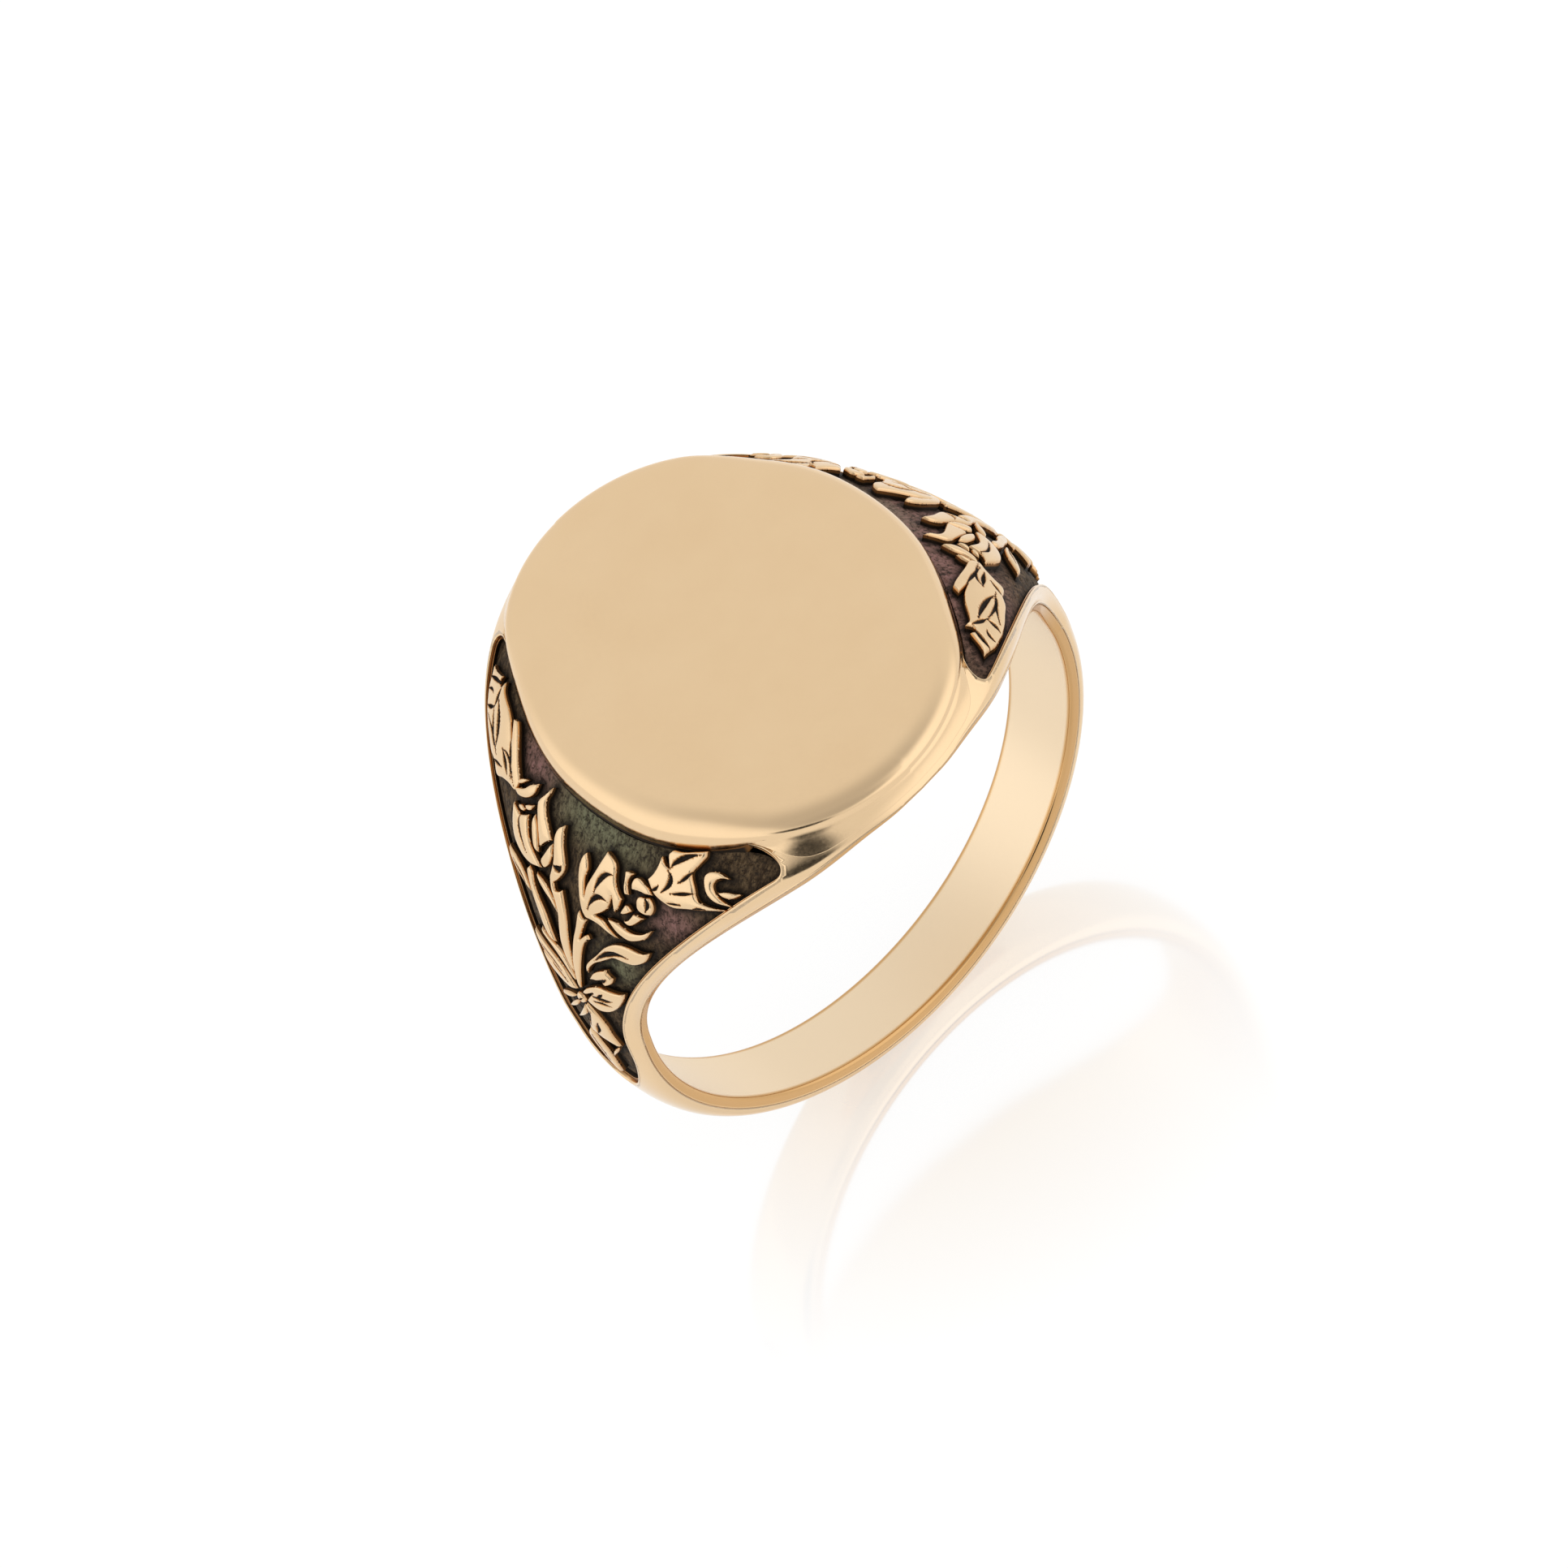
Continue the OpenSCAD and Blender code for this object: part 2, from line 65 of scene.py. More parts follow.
# The table and the flank that falls away from it
TABLE_END_R, TABLE_T, SHELF_DROP = 5.6, 0.5, 0.06
SEAT_Z = FACE_Z - TABLE_T
SHELF_Z = SEAT_Z - SHELF_DROP
FLANK_SOFT, FLANK_START = 0.25, 100
PLUG_INSET, PLUG_H, PLUG_CLEAR = 1.2, 0.2, 0.02
FOOT_DROP, FOOT_GAP = 1.1, 0.1
RIM_W, RIM_POWER = 1.1, 2.6
RIM_DROP, PANEL_RIM_DROP = 0.4, 0.98
SKIRT_W, SKIRT_ROOM, SKIRT_SOFT = 0.5, 0.75, 0.05
SKIRT_RISE, SKIRT_POWER, SKIRT_SINK, SKIRT_STAIN = 0.22, 2.0, 0.01, 2.5
WALL_T, WALL_H = 0.3, 0.25
TUCK, TUCK_Y, TUCK_SPAN = 0.19, 4.6, 2.3
BULGE, BULGE_Y, BULGE_SPAN = 0.1, -2.6, 1.8
FACE_MIDDLE = 1.5
# Stretch past a panel's corner over which its border and its deep rim fade out, and the skirt grows
BORDER_FADE, RIM_FADE, SKIRT_GROWTH = (-0.15, 0.45), (-1.45, 1.05), (0.2, 1.5)

# The shoulder panels
POCKET_START, TIP_SPAN = 77, 15
RAIL_W, RAIL_ROUND, RAIL_STAIN, STAIN_POWER = 0.3, 0.07, 0.15, 3
BELL_CORNER_R, TULIP_CORNER_R, CORNER_TAPER = 0.64, 0.47, 0.3
RAIL_SHARE, TIP_SHARE, SPINE_SHARE = 0.7, 0.25, 0.85
LEDGE_DROP, LEDGE_W, LEDGE_SOFT, LEDGE_LIP = 0.17, 0.06, 0.04, 0.03
RELIEF_H, POCKET_DEPTH = 0.32, 0.49
# A place is [angle, along the finger], and this makes it flat millimetres
ANGLE_MM = math.pi / 180 * (BORE_R + SHOULDER_T)
FLAT = np.array([ANGLE_MM, 1])

# Steps and tolerances of the meshes
RIM_A = np.arange(0, 180.1, 0.5)
GRID_A, GRID_TURN, GRID_GAP = 0.75, 3.0, 0.05
# Rough millimetres in a degree round the hoop and in a degree of turn across it
GRID_SCALE = np.array([0.2, 0.06])
TIP_STEPS, RAIL_STEPS, CORNER_STEPS = 40, 160, 40
FRONT_STEPS, OVAL_STEPS, ARC_STEPS = 8, 80, 90
RAIL_ROWS, SIDE_ROWS, BORE_EDGE_ROWS, BORE_ROWS = 7, 3, 8, 12
SKIRT_ROWS, RIM_ROWS, FACE_ROWS = 9, 25, 7
GROUND_COLUMNS, GROUND_ROWS = 81, 221
TINY, FILL_GAP, JOIN_GAP = 1e-12, 1e-7, 1e-4

# Rounds and first guesses of the searches
FLANK_ROUNDS, ANGLE_ROUNDS, FIRST_ANGLE = 6, 30, 146.0
CORNER_ANGLES = np.arange(125, 165.1, 0.1)
# Length of a curve's handles, in radii, that bends it half round
HALF_ROUND = 4 / 3


def sin(a):
    return np.sin(np.radians(a))


def cos(a):
    return np.cos(np.radians(a))


def ease(t):
    u = np.clip(t, 0, 1)
    return u * u * (3 - 2 * u)


def hump(x, middle, span):
    return np.exp(-((x - middle) / span) ** 2)


def soft_min(p, q, soft):
    return (p + q - np.sqrt((p - q) ** 2 + soft ** 2)) / 2


def pair(p, q):
    return np.stack(np.broadcast_arrays(p, q), -1)


def unit(v):
    return v / np.maximum(TINY, np.linalg.norm(v, axis=-1, keepdims=True))


def sideways(line):
    """Unit steps square to a line of flat points."""
    along = unit(np.gradient(line, axis=0))
    return pair(-along[:, 1], along[:, 0])


# The shape of the ring

def band_w(a):
    neck = (NECK_W - SHANK_W) * np.minimum(1, a / FLARE_START) ** NECK_POWER
    flare = (HEAD_W - NECK_W) * ease((a - FLARE_START) / (FLARE_END - FLARE_START))
    trim = TRIM_W * (hump(a, TRIM_A, TRIM_SPAN) - hump(180, TRIM_A, TRIM_SPAN))
    return SHANK_W + neck + flare - np.maximum(0, trim)


def crown_t(a):
    t = np.maximum(0, soft_min((a - RISE_START) / (RISE_END - RISE_START), 1, RISE_SOFT))
    return SHANK_T + (SHOULDER_T - SHANK_T) * t ** RISE_POWER


def dome_r(a, y):
    """Radius of the domed outside, before the flank cuts it."""
    v = np.minimum(1, 2 * np.abs(y) / band_w(a))
    return BORE_R + EDGE_T + (crown_t(a) - EDGE_T) * (1 - v ** DOME_POWER) ** (1 / DOME_POWER)


# The oval is two end arcs and two side arcs
END_Y = HALF_L - TABLE_END_R
SIDE_GAP = HALF_W - TABLE_END_R
SIDE_X = (END_Y ** 2 - SIDE_GAP ** 2) / (2 * SIDE_GAP)
SIDE_R = HALF_W + SIDE_X
SIDE_ANGLE = math.degrees(math.atan2(END_Y, SIDE_X))
JOIN_Y = SIDE_R * sin(SIDE_ANGLE)


def oval_gap(x, y):
    """How far a place lies outside the table's oval."""
    x, y = np.abs(x), np.abs(y)
    by_end = np.hypot(x, y - END_Y) - TABLE_END_R
    by_side = np.hypot(x + SIDE_X, y) - SIDE_R
    return np.where(y * SIDE_X > (SIDE_X + x) * END_Y, by_end, by_side)


def oval_x(y):
    """Half the width of the oval at a place along the finger."""
    y = np.abs(y)
    side = np.sqrt(np.maximum(0, SIDE_R ** 2 - y ** 2)) - SIDE_X
    end = np.sqrt(np.maximum(0, TABLE_END_R ** 2 - (y - END_Y) ** 2))
    return np.where(y < JOIN_Y, side, end)


def outer_r(a, y):
    """Radius of the outer surface: the dome, cut by the flank that falls away from the table."""
    a, y = np.broadcast_arrays(np.asarray(a, float), np.asarray(y, float))
    dome = dome_r(a, y)
    steep = np.where(a < FLANK_START, -1, cos(a))
    r = dome
    for _ in range(FLANK_ROUNDS):
        flank = (SHELF_Z - np.maximum(0, oval_gap(r * sin(a), y))) / -steep
        r = (r + soft_min(dome, flank, FLANK_SOFT)) / 2
    return np.where(a < FLANK_START, dome, r)


def on_hoop(a, y, r):
    return np.stack(np.broadcast_arrays(-r * sin(a), y, -r * cos(a)), -1)


def on_ring(places, drop=0.0):
    """Points on the left shoulder at some places, some way under the outer surface."""
    a, y = places[..., 0], places[..., 1]
    return on_hoop(a, y, outer_r(a, y) - drop)


def angle_at(x, y, drop=0.0):
    """Angle at which the outer surface, lowered by a drop, lies at a distance x from the middle."""
    a = np.full(np.shape(y), FIRST_ANGLE)
    for _ in range(ANGLE_ROUNDS):
        a = (a + 180 - np.degrees(np.arcsin(np.minimum(1, x / (outer_r(a, y) - drop))))) / 2
    return a


def tuck_at(y):
    """How far the table's wall stands back from its outline, along the finger from bell flower to tulip."""
    return TUCK * hump(y, TUCK_Y, TUCK_SPAN) - BULGE * hump(y, BULGE_Y, BULGE_SPAN)


def wall_a(y, way, drop=0.0):
    """Angle at which a panel meets the table's wall, on the tulip's way (1) or the bell flower's (-1)."""
    y = np.asarray(y, float)
    return angle_at(np.maximum(0, oval_x(y) - tuck_at(way * y)), y, drop)


def open_half(a):
    """Half the panel's width."""
    t = np.clip((POCKET_START + TIP_SPAN - a) / TIP_SPAN, 0, 1)
    return (band_w(a) / 2 - RAIL_W) * np.sqrt(1 - t * t)


def flat_unit(v):
    """A step between places, made one flat millimetre long."""
    return v / np.linalg.norm(v * FLAT, axis=-1, keepdims=True)


def rail_way(a):
    half_degree = 0.5
    return flat_unit(pair(np.ones_like(a), open_half(a + half_degree) - open_half(a - half_degree)))


def find_corner(r, way):
    """Round end of the panel: its radius, its way, and where it leaves the rail and meets the table."""
    a = CORNER_ANGLES
    along = rail_way(a)
    across = pair(along[:, 1] / ANGLE_MM, -along[:, 0] * ANGLE_MM)
    end = pair(a, open_half(a)) + 2 * r * across
    pick = np.flatnonzero(end[:, 0] < wall_a(end[:, 1], way)).max()
    return r, way, a[pick], end[pick, 1]


BELL_END = find_corner(BELL_CORNER_R, -1)
TULIP_END = find_corner(TULIP_CORNER_R, 1)


def round_end(end, t, drop=0.0):
    """The panel's upper corner, from the rail at t = 0 to the table at t = 1."""
    r, way, corner_a, corner_y = end
    start = np.array([corner_a, float(open_half(corner_a))])
    finish = np.array([float(wall_a(corner_y, way, drop)), corner_y])
    step = 0.05
    turn = wall_a(np.array([corner_y - step, corner_y + step]), way)
    table_way = flat_unit(np.array([turn[1] - turn[0], 2 * step]))
    b = start + HALF_ROUND * r * rail_way(np.array([corner_a]))[0]
    c = finish + HALF_ROUND * r * table_way
    t = np.asarray(t)[:, None]
    return (1 - t) ** 3 * start + 3 * t * (1 - t) ** 2 * b + 3 * t * t * (1 - t) * c + t ** 3 * finish


EDGE_UP = np.concatenate([
    RAIL_SHARE * TIP_SHARE * np.linspace(0, 1, TIP_STEPS, endpoint=False),
    RAIL_SHARE * np.linspace(TIP_SHARE, 1, RAIL_STEPS, endpoint=False),
    np.linspace(RAIL_SHARE, 1, CORNER_STEPS),
])


def panel_edge(end, up=EDGE_UP, drop=0.0):
    """Places along half the panel's edge, at shares of the way up from its tip to the table."""
    on_rail = np.minimum(1, up / RAIL_SHARE)
    tip_a = TIP_SPAN * (1 - cos(90 * np.minimum(1, on_rail / TIP_SHARE)))
    past_tip = np.maximum(0, on_rail - TIP_SHARE) / (1 - TIP_SHARE)
    a = POCKET_START + tip_a + (end[2] - POCKET_START - TIP_SPAN) * past_tip
    edge = pair(a, open_half(a))
    bend = up >= RAIL_SHARE
    edge[bend] = round_end(end, (up[bend] - RAIL_SHARE) / (1 - RAIL_SHARE), drop)
    return edge


def outwards(edge):
    """Steps of a millimetre out of the panel, square to its edge."""
    out = sideways(edge * FLAT)
    out[0] = [-1, 0]
    return out / FLAT


# Mesh helpers

def grid_faces(points, closed=False):
    rows, columns = points.shape[:2]
    i, j = np.meshgrid(np.arange(rows - 1), np.arange(columns if closed else columns - 1), indexing="ij")
    k = (j + 1) % columns
    quads = [i * columns + j, i * columns + k, (i + 1) * columns + k, (i + 1) * columns + j]
    return np.stack(quads, -1).reshape(-1, 4)


def grid_normals(points, closed=False):
    """Normals of a grid of points, on the side of columns x rows."""
    if closed:
        points = np.concatenate([points[:, -1:], points, points[:, :1]], 1)
    normals = unit(np.cross(np.gradient(points, axis=1), np.gradient(points, axis=0)))
    return normals[:, 1:-1] if closed else normals


def inside(points, loop):
    """Which points lie inside a closed loop."""
    p, q = loop, np.roll(loop, -1, 0)
    x, y = points[:, 0:1], points[:, 1:2]
    crosses = (p[:, 1] > y) != (q[:, 1] > y)
    rise = np.where(q[:, 1] == p[:, 1], 1, q[:, 1] - p[:, 1])
    return np.sum(crosses & (x < p[:, 0] + (y - p[:, 1]) / rise * (q[:, 0] - p[:, 0])), 1) % 2 == 1


def distance(points, loop):
    """Distance of points from a closed loop."""
    along = np.roll(loop, -1, 0) - loop
    length = np.maximum(TINY, np.sum(along ** 2, 1))
    best = np.full(len(points), np.inf)
    for i in range(len(loop)):
        t = np.clip(((points - loop[i]) @ along[i]) / length[i], 0, 1)
        best = np.minimum(best, np.sum((points - loop[i] - t[:, None] * along[i]) ** 2, 1))
    return np.sqrt(best)


def fill(loop, extra):
    """Triangles that fill a closed loop, through extra points inside it."""
    points = np.concatenate([loop, extra])
    n = len(loop)
    edges = [(i, (i + 1) % n) for i in range(n)]
    made = delaunay_2d_cdt([Vector(p) for p in points.tolist()], edges, [list(range(n))], 1, FILL_GAP)
    places = np.array([tuple(v) for v in made[0]])
    return places, np.array([f for f in made[2] if len(f) == 3])


class Shape:
    """Patches of points and faces that are joined where their points meet."""

    def __init__(self):
        self.parts = []

    def add(self, points, faces, normals, **values):
        """Adds a patch, with each face turned to the side of its normals."""
        points, normals = points.reshape(-1, 3), normals.reshape(-1, 3)
        values = {k: np.broadcast_to(v, len(points)) for k, v in values.items()}
        corner = points[faces]
        facing = np.cross(corner[:, 2] - corner[:, 0], corner[:, -1] - corner[:, 1])
        wrong = np.sum(facing * normals[faces].sum(1), 1) < 0
        faces = faces.copy()
        faces[wrong] = faces[wrong][:, ::-1]
        self.parts.append((points, faces, normals, values))

    def add_grid(self, points, closed=False, side=1, **values):
        """Adds a grid of points, with its normals on one side (1) or the other (-1)."""
        self.add(points, grid_faces(points, closed), side * grid_normals(points, closed), **values)

    def add_turned(self, points, faces, normals, flip, **values):
        """Adds a patch, flipped in Y or not, and the same once more after half a turn about Z."""
        for half_turn in (1, -1):
            way = np.array([half_turn, half_turn * flip, 1])
            self.add(points * way, faces, normals * way, **values)

    def make_piece(self, name, material, node):
        """Makes the piece that stands for a node, with the patches' values on its mesh."""
        starts = np.cumsum([0] + [len(p[0]) for p in self.parts])
        points = np.concatenate([p[0] for p in self.parts])
        keys, first, back = np.unique(
            np.rint(points / JOIN_GAP).astype(np.int64), axis=0, return_index=True, return_inverse=True
        )
        back = back.ravel()
        joined = np.zeros((len(keys), 3))
        np.add.at(joined, back, np.concatenate([p[2] for p in self.parts]))
        faces = []
        for start, (_, part, _, _) in zip(starts, self.parts):
            for face in back[part + start].tolist():
                corners = list(dict.fromkeys(face))
                if len(corners) > 2:
                    faces.append(corners)
        mesh = bpy.data.meshes.new(name)
        mesh.from_pydata((points[first] * MM).tolist(), [], faces)
        mesh.validate()
        mesh.shade_smooth()
        mesh.normals_split_custom_set_from_vertices(unit(joined).tolist())
        for label in dict.fromkeys(k for p in self.parts for k in p[3]):
            data = np.concatenate([p[3].get(label, np.zeros(len(p[0]))) for p in self.parts])[first]
            mesh.attributes.new(label, "FLOAT", "POINT").data.foreach_set("value", data.astype(np.float32))
        piece = bpy.data.objects.new(name, mesh)
        bpy.context.scene.collection.objects.link(piece)
        mesh.materials.append(material)
        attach(piece, "root")
        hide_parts(node)


# Materials

class Nodes:
    """A small hand for building the node tree of a material or of the world."""

    def __init__(self, owner, kind):
        owner.use_nodes = True
        self.owner = owner
        self.tree = owner.node_tree
        self.tree.nodes.clear()
        self.out = self.tree.nodes.new("ShaderNodeOutput" + kind)

    def add(self, kind, inputs=None, **settings):
        node = self.tree.nodes.new("ShaderNode" + kind)
        for key, value in settings.items():
            setattr(node, key, value)
        for key, value in (inputs or {}).items():
            if isinstance(value, bpy.types.NodeSocket):
                self.tree.links.new(value, node.inputs[key])
            else:
                node.inputs[key].default_value = value
        return node

    def noise(self, where, scale, detail, roughness=0.55):
        """Noise, with one scale or a scale of its own along X, Y and Z."""
        if isinstance(scale, tuple):
            where = self.add("Mapping", {"Vector": where, "Scale": scale}).outputs["Vector"]
            scale = 1.0
        inputs = {"Vector": where, "Scale": scale, "Detail": detail, "Roughness": roughness}
        return self.add("TexNoise", inputs).outputs["Fac"]

    def ramp(self, value, low, high, to_low=0.0, to_high=1.0, **settings):
        inputs = {"Value": value, "From Min": low, "From Max": high, "To Min": to_low, "To Max": to_high}
        return self.add("MapRange", inputs, clamp=True, **settings).outputs["Result"]

    def mix(self, share, first, second):
        """Mixes colours. The sockets go by number, because their names repeat for each kind of value."""
        return self.add("Mix", {0: share, 6: first, 7: second}, data_type="RGBA").outputs[2]

    def mix_values(self, share, first, second):
        return self.add("Mix", {0: share, 2: first, 3: second}, data_type="FLOAT").outputs[0]

    def mix_shaders(self, share, first, second):
        return self.add("MixShader", {0: share, 1: first, 2: second}).outputs[0]

    def math(self, operation, first, second):
        return self.add("Math", {0: first, 1: second}, operation=operation).outputs[0]

    def value(self, label):
        return self.add("Attribute", attribute_name=label, attribute_type="GEOMETRY").outputs["Fac"]

    def bump(self, height, strength, distance):
        inputs = {"Height": height, "Strength": strength, "Distance": distance * MM}
        return self.add("Bump", inputs).outputs["Normal"]

    def surface(self, shader):
        self.tree.links.new(shader, self.out.inputs["Surface"])
        return self.owner


GOLD = (0.80, 0.585, 0.355, 1)
# Deeper gold is the colour of random clouds in the metal, and also painted shade on the band's side walls and
# bore edges
DEEP_GOLD_AND_SHADE = (0.60, 0.36, 0.155, 1)
# Pale gold is a painted sheen on the satin bore, a paler colour that stands in for its bright highlights
PALE_SHEEN_GOLD = (0.87, 0.70, 0.49, 1)
PATINA = (0.018, 0.011, 0.006, 1)
BURNT_EDGE = (0.50, 0.22, 0.06, 1)
BAND_ROUGH, TABLE_ROUGH, RELIEF_ROUGH, SATIN_ROUGH, PATINA_ROUGH = 0.13, 0.16, 0.2, 0.36, 0.6
GOLD_SPECULAR, PATINA_METAL = 0.25, 0.3
# Share of patina from which gold looks burnt, and from which it turns dark, each with its full share
BURNT_RANGE, DARK_RANGE = (0.05, 0.5), (0.35, 0.85)
# Noise in cycles a metre: clouds of deeper gold, spots of polish and fine scratches
CLOUD_SCALE, CLOUD_RANGE, CLOUD_SHARE = 400.0, (0.3, 0.75), 0.1
POLISH_SCALE, POLISH_RANGE, POLISH_MORE, POLISH_LESS = 9000.0, (0.3, 0.7), 0.03, 0.05
SCRATCH_SCALE, SCRATCH_STRENGTH, SCRATCH_DEPTH = (3000.0, 26000.0, 14000.0), 0.012, 0.02


def gold_material(name, rough):
    """Polished gold. Attributes tell where it is satin, with a paler colour that is a painted sheen, where
    the band's side walls and bore edges carry painted shade in deeper orange gold, and where it carries dark
    patina.
    """
    n = Nodes(bpy.data.materials.new(name), "Material")
    where = n.add("TexCoord").outputs["Object"]
    satin, patina = n.value("satin"), n.value("patina")
    clouds = n.ramp(n.noise(where, CLOUD_SCALE, detail=2.0), *CLOUD_RANGE, 0.0, CLOUD_SHARE)
    # Painted shade: the band's side walls and bore edges turn to deeper gold, as do random clouds of the same
    # colour
    cloudy_and_shaded = n.mix(n.math("MAXIMUM", n.value("deep"), clouds), GOLD, DEEP_GOLD_AND_SHADE)
    # Painted sheen: the satin bore turns to a paler gold; its satin share also sets a real, rougher finish
    clean = n.mix(satin, cloudy_and_shaded, PALE_SHEEN_GOLD)
    burnt = n.mix(n.ramp(patina, *BURNT_RANGE), clean, BURNT_EDGE)
    dark = n.ramp(patina, *DARK_RANGE)
    spots = n.noise(where, POLISH_SCALE, detail=4.0)
    polish = n.ramp(spots, *POLISH_RANGE, rough - POLISH_MORE, rough + POLISH_LESS)
    polish = n.mix_values(satin, polish, SATIN_ROUGH)
    scratches = n.noise(where, SCRATCH_SCALE, detail=2.0)
    shader = n.add("BsdfPrincipled", {
        "Base Color": n.mix(dark, burnt, PATINA),
        "Metallic": n.ramp(patina, *DARK_RANGE, 1.0, PATINA_METAL),
        "Roughness": n.mix_values(dark, polish, PATINA_ROUGH),
        "Specular IOR Level": GOLD_SPECULAR,
        "Normal": n.bump(scratches, SCRATCH_STRENGTH, SCRATCH_DEPTH),
    })
    return n.surface(shader.outputs["BSDF"])


GROUND_DARK, GROUND_BROWN = (0.026, 0.014, 0.006, 1), (0.150, 0.098, 0.050, 1)
GROUND_GREEN, GROUND_MAUVE = (0.190, 0.195, 0.115, 1), (0.270, 0.140, 0.125, 1)
PIT_DARK, SHADE_DARK = (0.016, 0.010, 0.006, 1), (0.009, 0.006, 0.004, 1)
GROUND_ROUGH, GROUND_SPECULAR = 0.7, 0.15
MOTTLE_SCALE, BROWN_RANGE, PATCH_RANGE = (2600.0, 7500.0, 2600.0), (0.42, 0.62), (0.35, 0.58)
GRAIN_SCALE, PIT_RANGE, PIT_SHARE = 6500.0, (0.40, 0.49), 0.85
GRAIN_STRENGTH, GRAIN_DEPTH = 0.5, 0.06


def ground_material():
    """Oxidised ground: brown-black, with mottled green and mauve patches and small pits."""
    n = Nodes(bpy.data.materials.new("dark_ground"), "Material")
    where = n.add("TexCoord").outputs["Object"]
    mottle = n.noise(where, MOTTLE_SCALE, detail=8.0, roughness=0.8)
    grain = n.noise(where, GRAIN_SCALE, detail=6.0, roughness=0.75)
    colour = n.mix(n.ramp(mottle, *BROWN_RANGE), GROUND_DARK, GROUND_BROWN)
    for label, patch in (("green", GROUND_GREEN), ("mauve", GROUND_MAUVE)):
        share = n.math("MULTIPLY", n.value(label), n.ramp(mottle, *PATCH_RANGE))
        colour = n.mix(share, colour, patch)
    pitted = n.mix(n.ramp(grain, *PIT_RANGE, PIT_SHARE, 0.0), colour, PIT_DARK)
    shader = n.add("BsdfPrincipled", {
        "Base Color": n.mix(n.value("shade"), pitted, SHADE_DARK), "Metallic": 0.0,
        "Roughness": GROUND_ROUGH, "Specular IOR Level": GROUND_SPECULAR,
        "Normal": n.bump(grain, GRAIN_STRENGTH, GRAIN_DEPTH),
    })
    return n.surface(shader.outputs["BSDF"])


band_gold = gold_material("band_gold", BAND_ROUGH)
table_gold = gold_material("table_gold", TABLE_ROUGH)
relief_gold = gold_material("relief_gold", RELIEF_ROUGH)
dark_ground = ground_material()


# The band

def outer_point(a, turn):
    """Point outside, at an angle round the hoop and a turn across it that is 90 at the band's edge."""
    y = band_w(a) / 2 * sin(turn)
    return on_hoop(a, y, outer_r(a, y))


def outer_normal(a, turn):
    step = 0.1
    along = outer_point(a + step, turn) - outer_point(a - step, turn)
    across = outer_point(a, np.minimum(90, turn + step)) - outer_point(a, np.maximum(-90, turn - step))
    return unit(np.cross(along, across))


def turn_at(a, y):
    return np.degrees(np.arcsin(np.clip(2 * y / band_w(a), -1, 1)))


# Rows down a panel's wall: out from its edge, down from the surface, and the share of patina
WALL_ROWS = [
    (0, LEDGE_DROP - LEDGE_SOFT, 0.4), (0, LEDGE_DROP, 0.9), (-LEDGE_W, LEDGE_DROP, 0.25),
    (-LEDGE_W, LEDGE_DROP + LEDGE_LIP, 0.8), (-LEDGE_W, RELIEF_H, 1.0), (-LEDGE_W, POCKET_DEPTH, 1.0),
]


def band_outside(shape, end):
    """A quarter of the band's outside, with the rounded edge and the walls of its panel."""
    _, way, _, corner_y = end
    edge = panel_edge(end)
    out = outwards(edge)
    out[-CORNER_STEPS:] *= np.minimum(1, np.linspace(1, 0, CORNER_STEPS) / CORNER_TAPER)[:, None]
    brink_a, brink_y = (edge + RAIL_ROUND * out)[::-1].T

    front = np.linspace(90, turn_at(180.0, HALF_L), FRONT_STEPS)[1:-1]
    end_turn = math.degrees(math.asin((corner_y - END_Y) / TABLE_END_R))
    oval_y = END_Y + TABLE_END_R * sin(np.linspace(90, end_turn, OVAL_STEPS))
    oval_a = wall_a(oval_y, way)
    loop = GRID_SCALE * np.concatenate([
        pair(RIM_A, 90.0),
        pair(180.0, front),
        pair(oval_a, turn_at(oval_a, oval_y)),
        pair(brink_a, turn_at(brink_a, brink_y)),
        pair(np.arange(brink_a[-1] // GRID_A * GRID_A, 0, -GRID_A), 0.0),
        pair(0.0, np.arange(0, 90, GRID_TURN)),
    ])
    grid_a, grid_turn = np.meshgrid(np.arange(GRID_A, 180, GRID_A), np.arange(GRID_TURN, 90, GRID_TURN))
    grid = GRID_SCALE * pair(grid_a.ravel(), grid_turn.ravel())
    grid = grid[inside(grid, loop)]
    grid = grid[distance(grid, loop) > GRID_GAP]
    places, faces = fill(loop, grid)
    a, turn = (places / GRID_SCALE).T
    shape.add_turned(outer_point(a, turn), faces, outer_normal(a, turn), way)

    rows = []
    for roll in np.linspace(0, 90, RAIL_ROWS):
        stain = RAIL_STAIN * (roll / 90) ** STAIN_POWER
        rows.append((RAIL_ROUND * (1 - sin(roll)), RAIL_ROUND * (1 - cos(roll)), stain))
    rows += WALL_ROWS
    points = []
    for reach, drop, _ in rows:
        places = edge + reach * out
        places[:, 1] = np.maximum(0, places[:, 1])
        points.append(on_ring(places, drop))
    points = np.array(points)
    stains = np.repeat([stain for *_, stain in rows], len(edge))
    shape.add_turned(points, grid_faces(points), grid_normals(points), way, patina=stains)


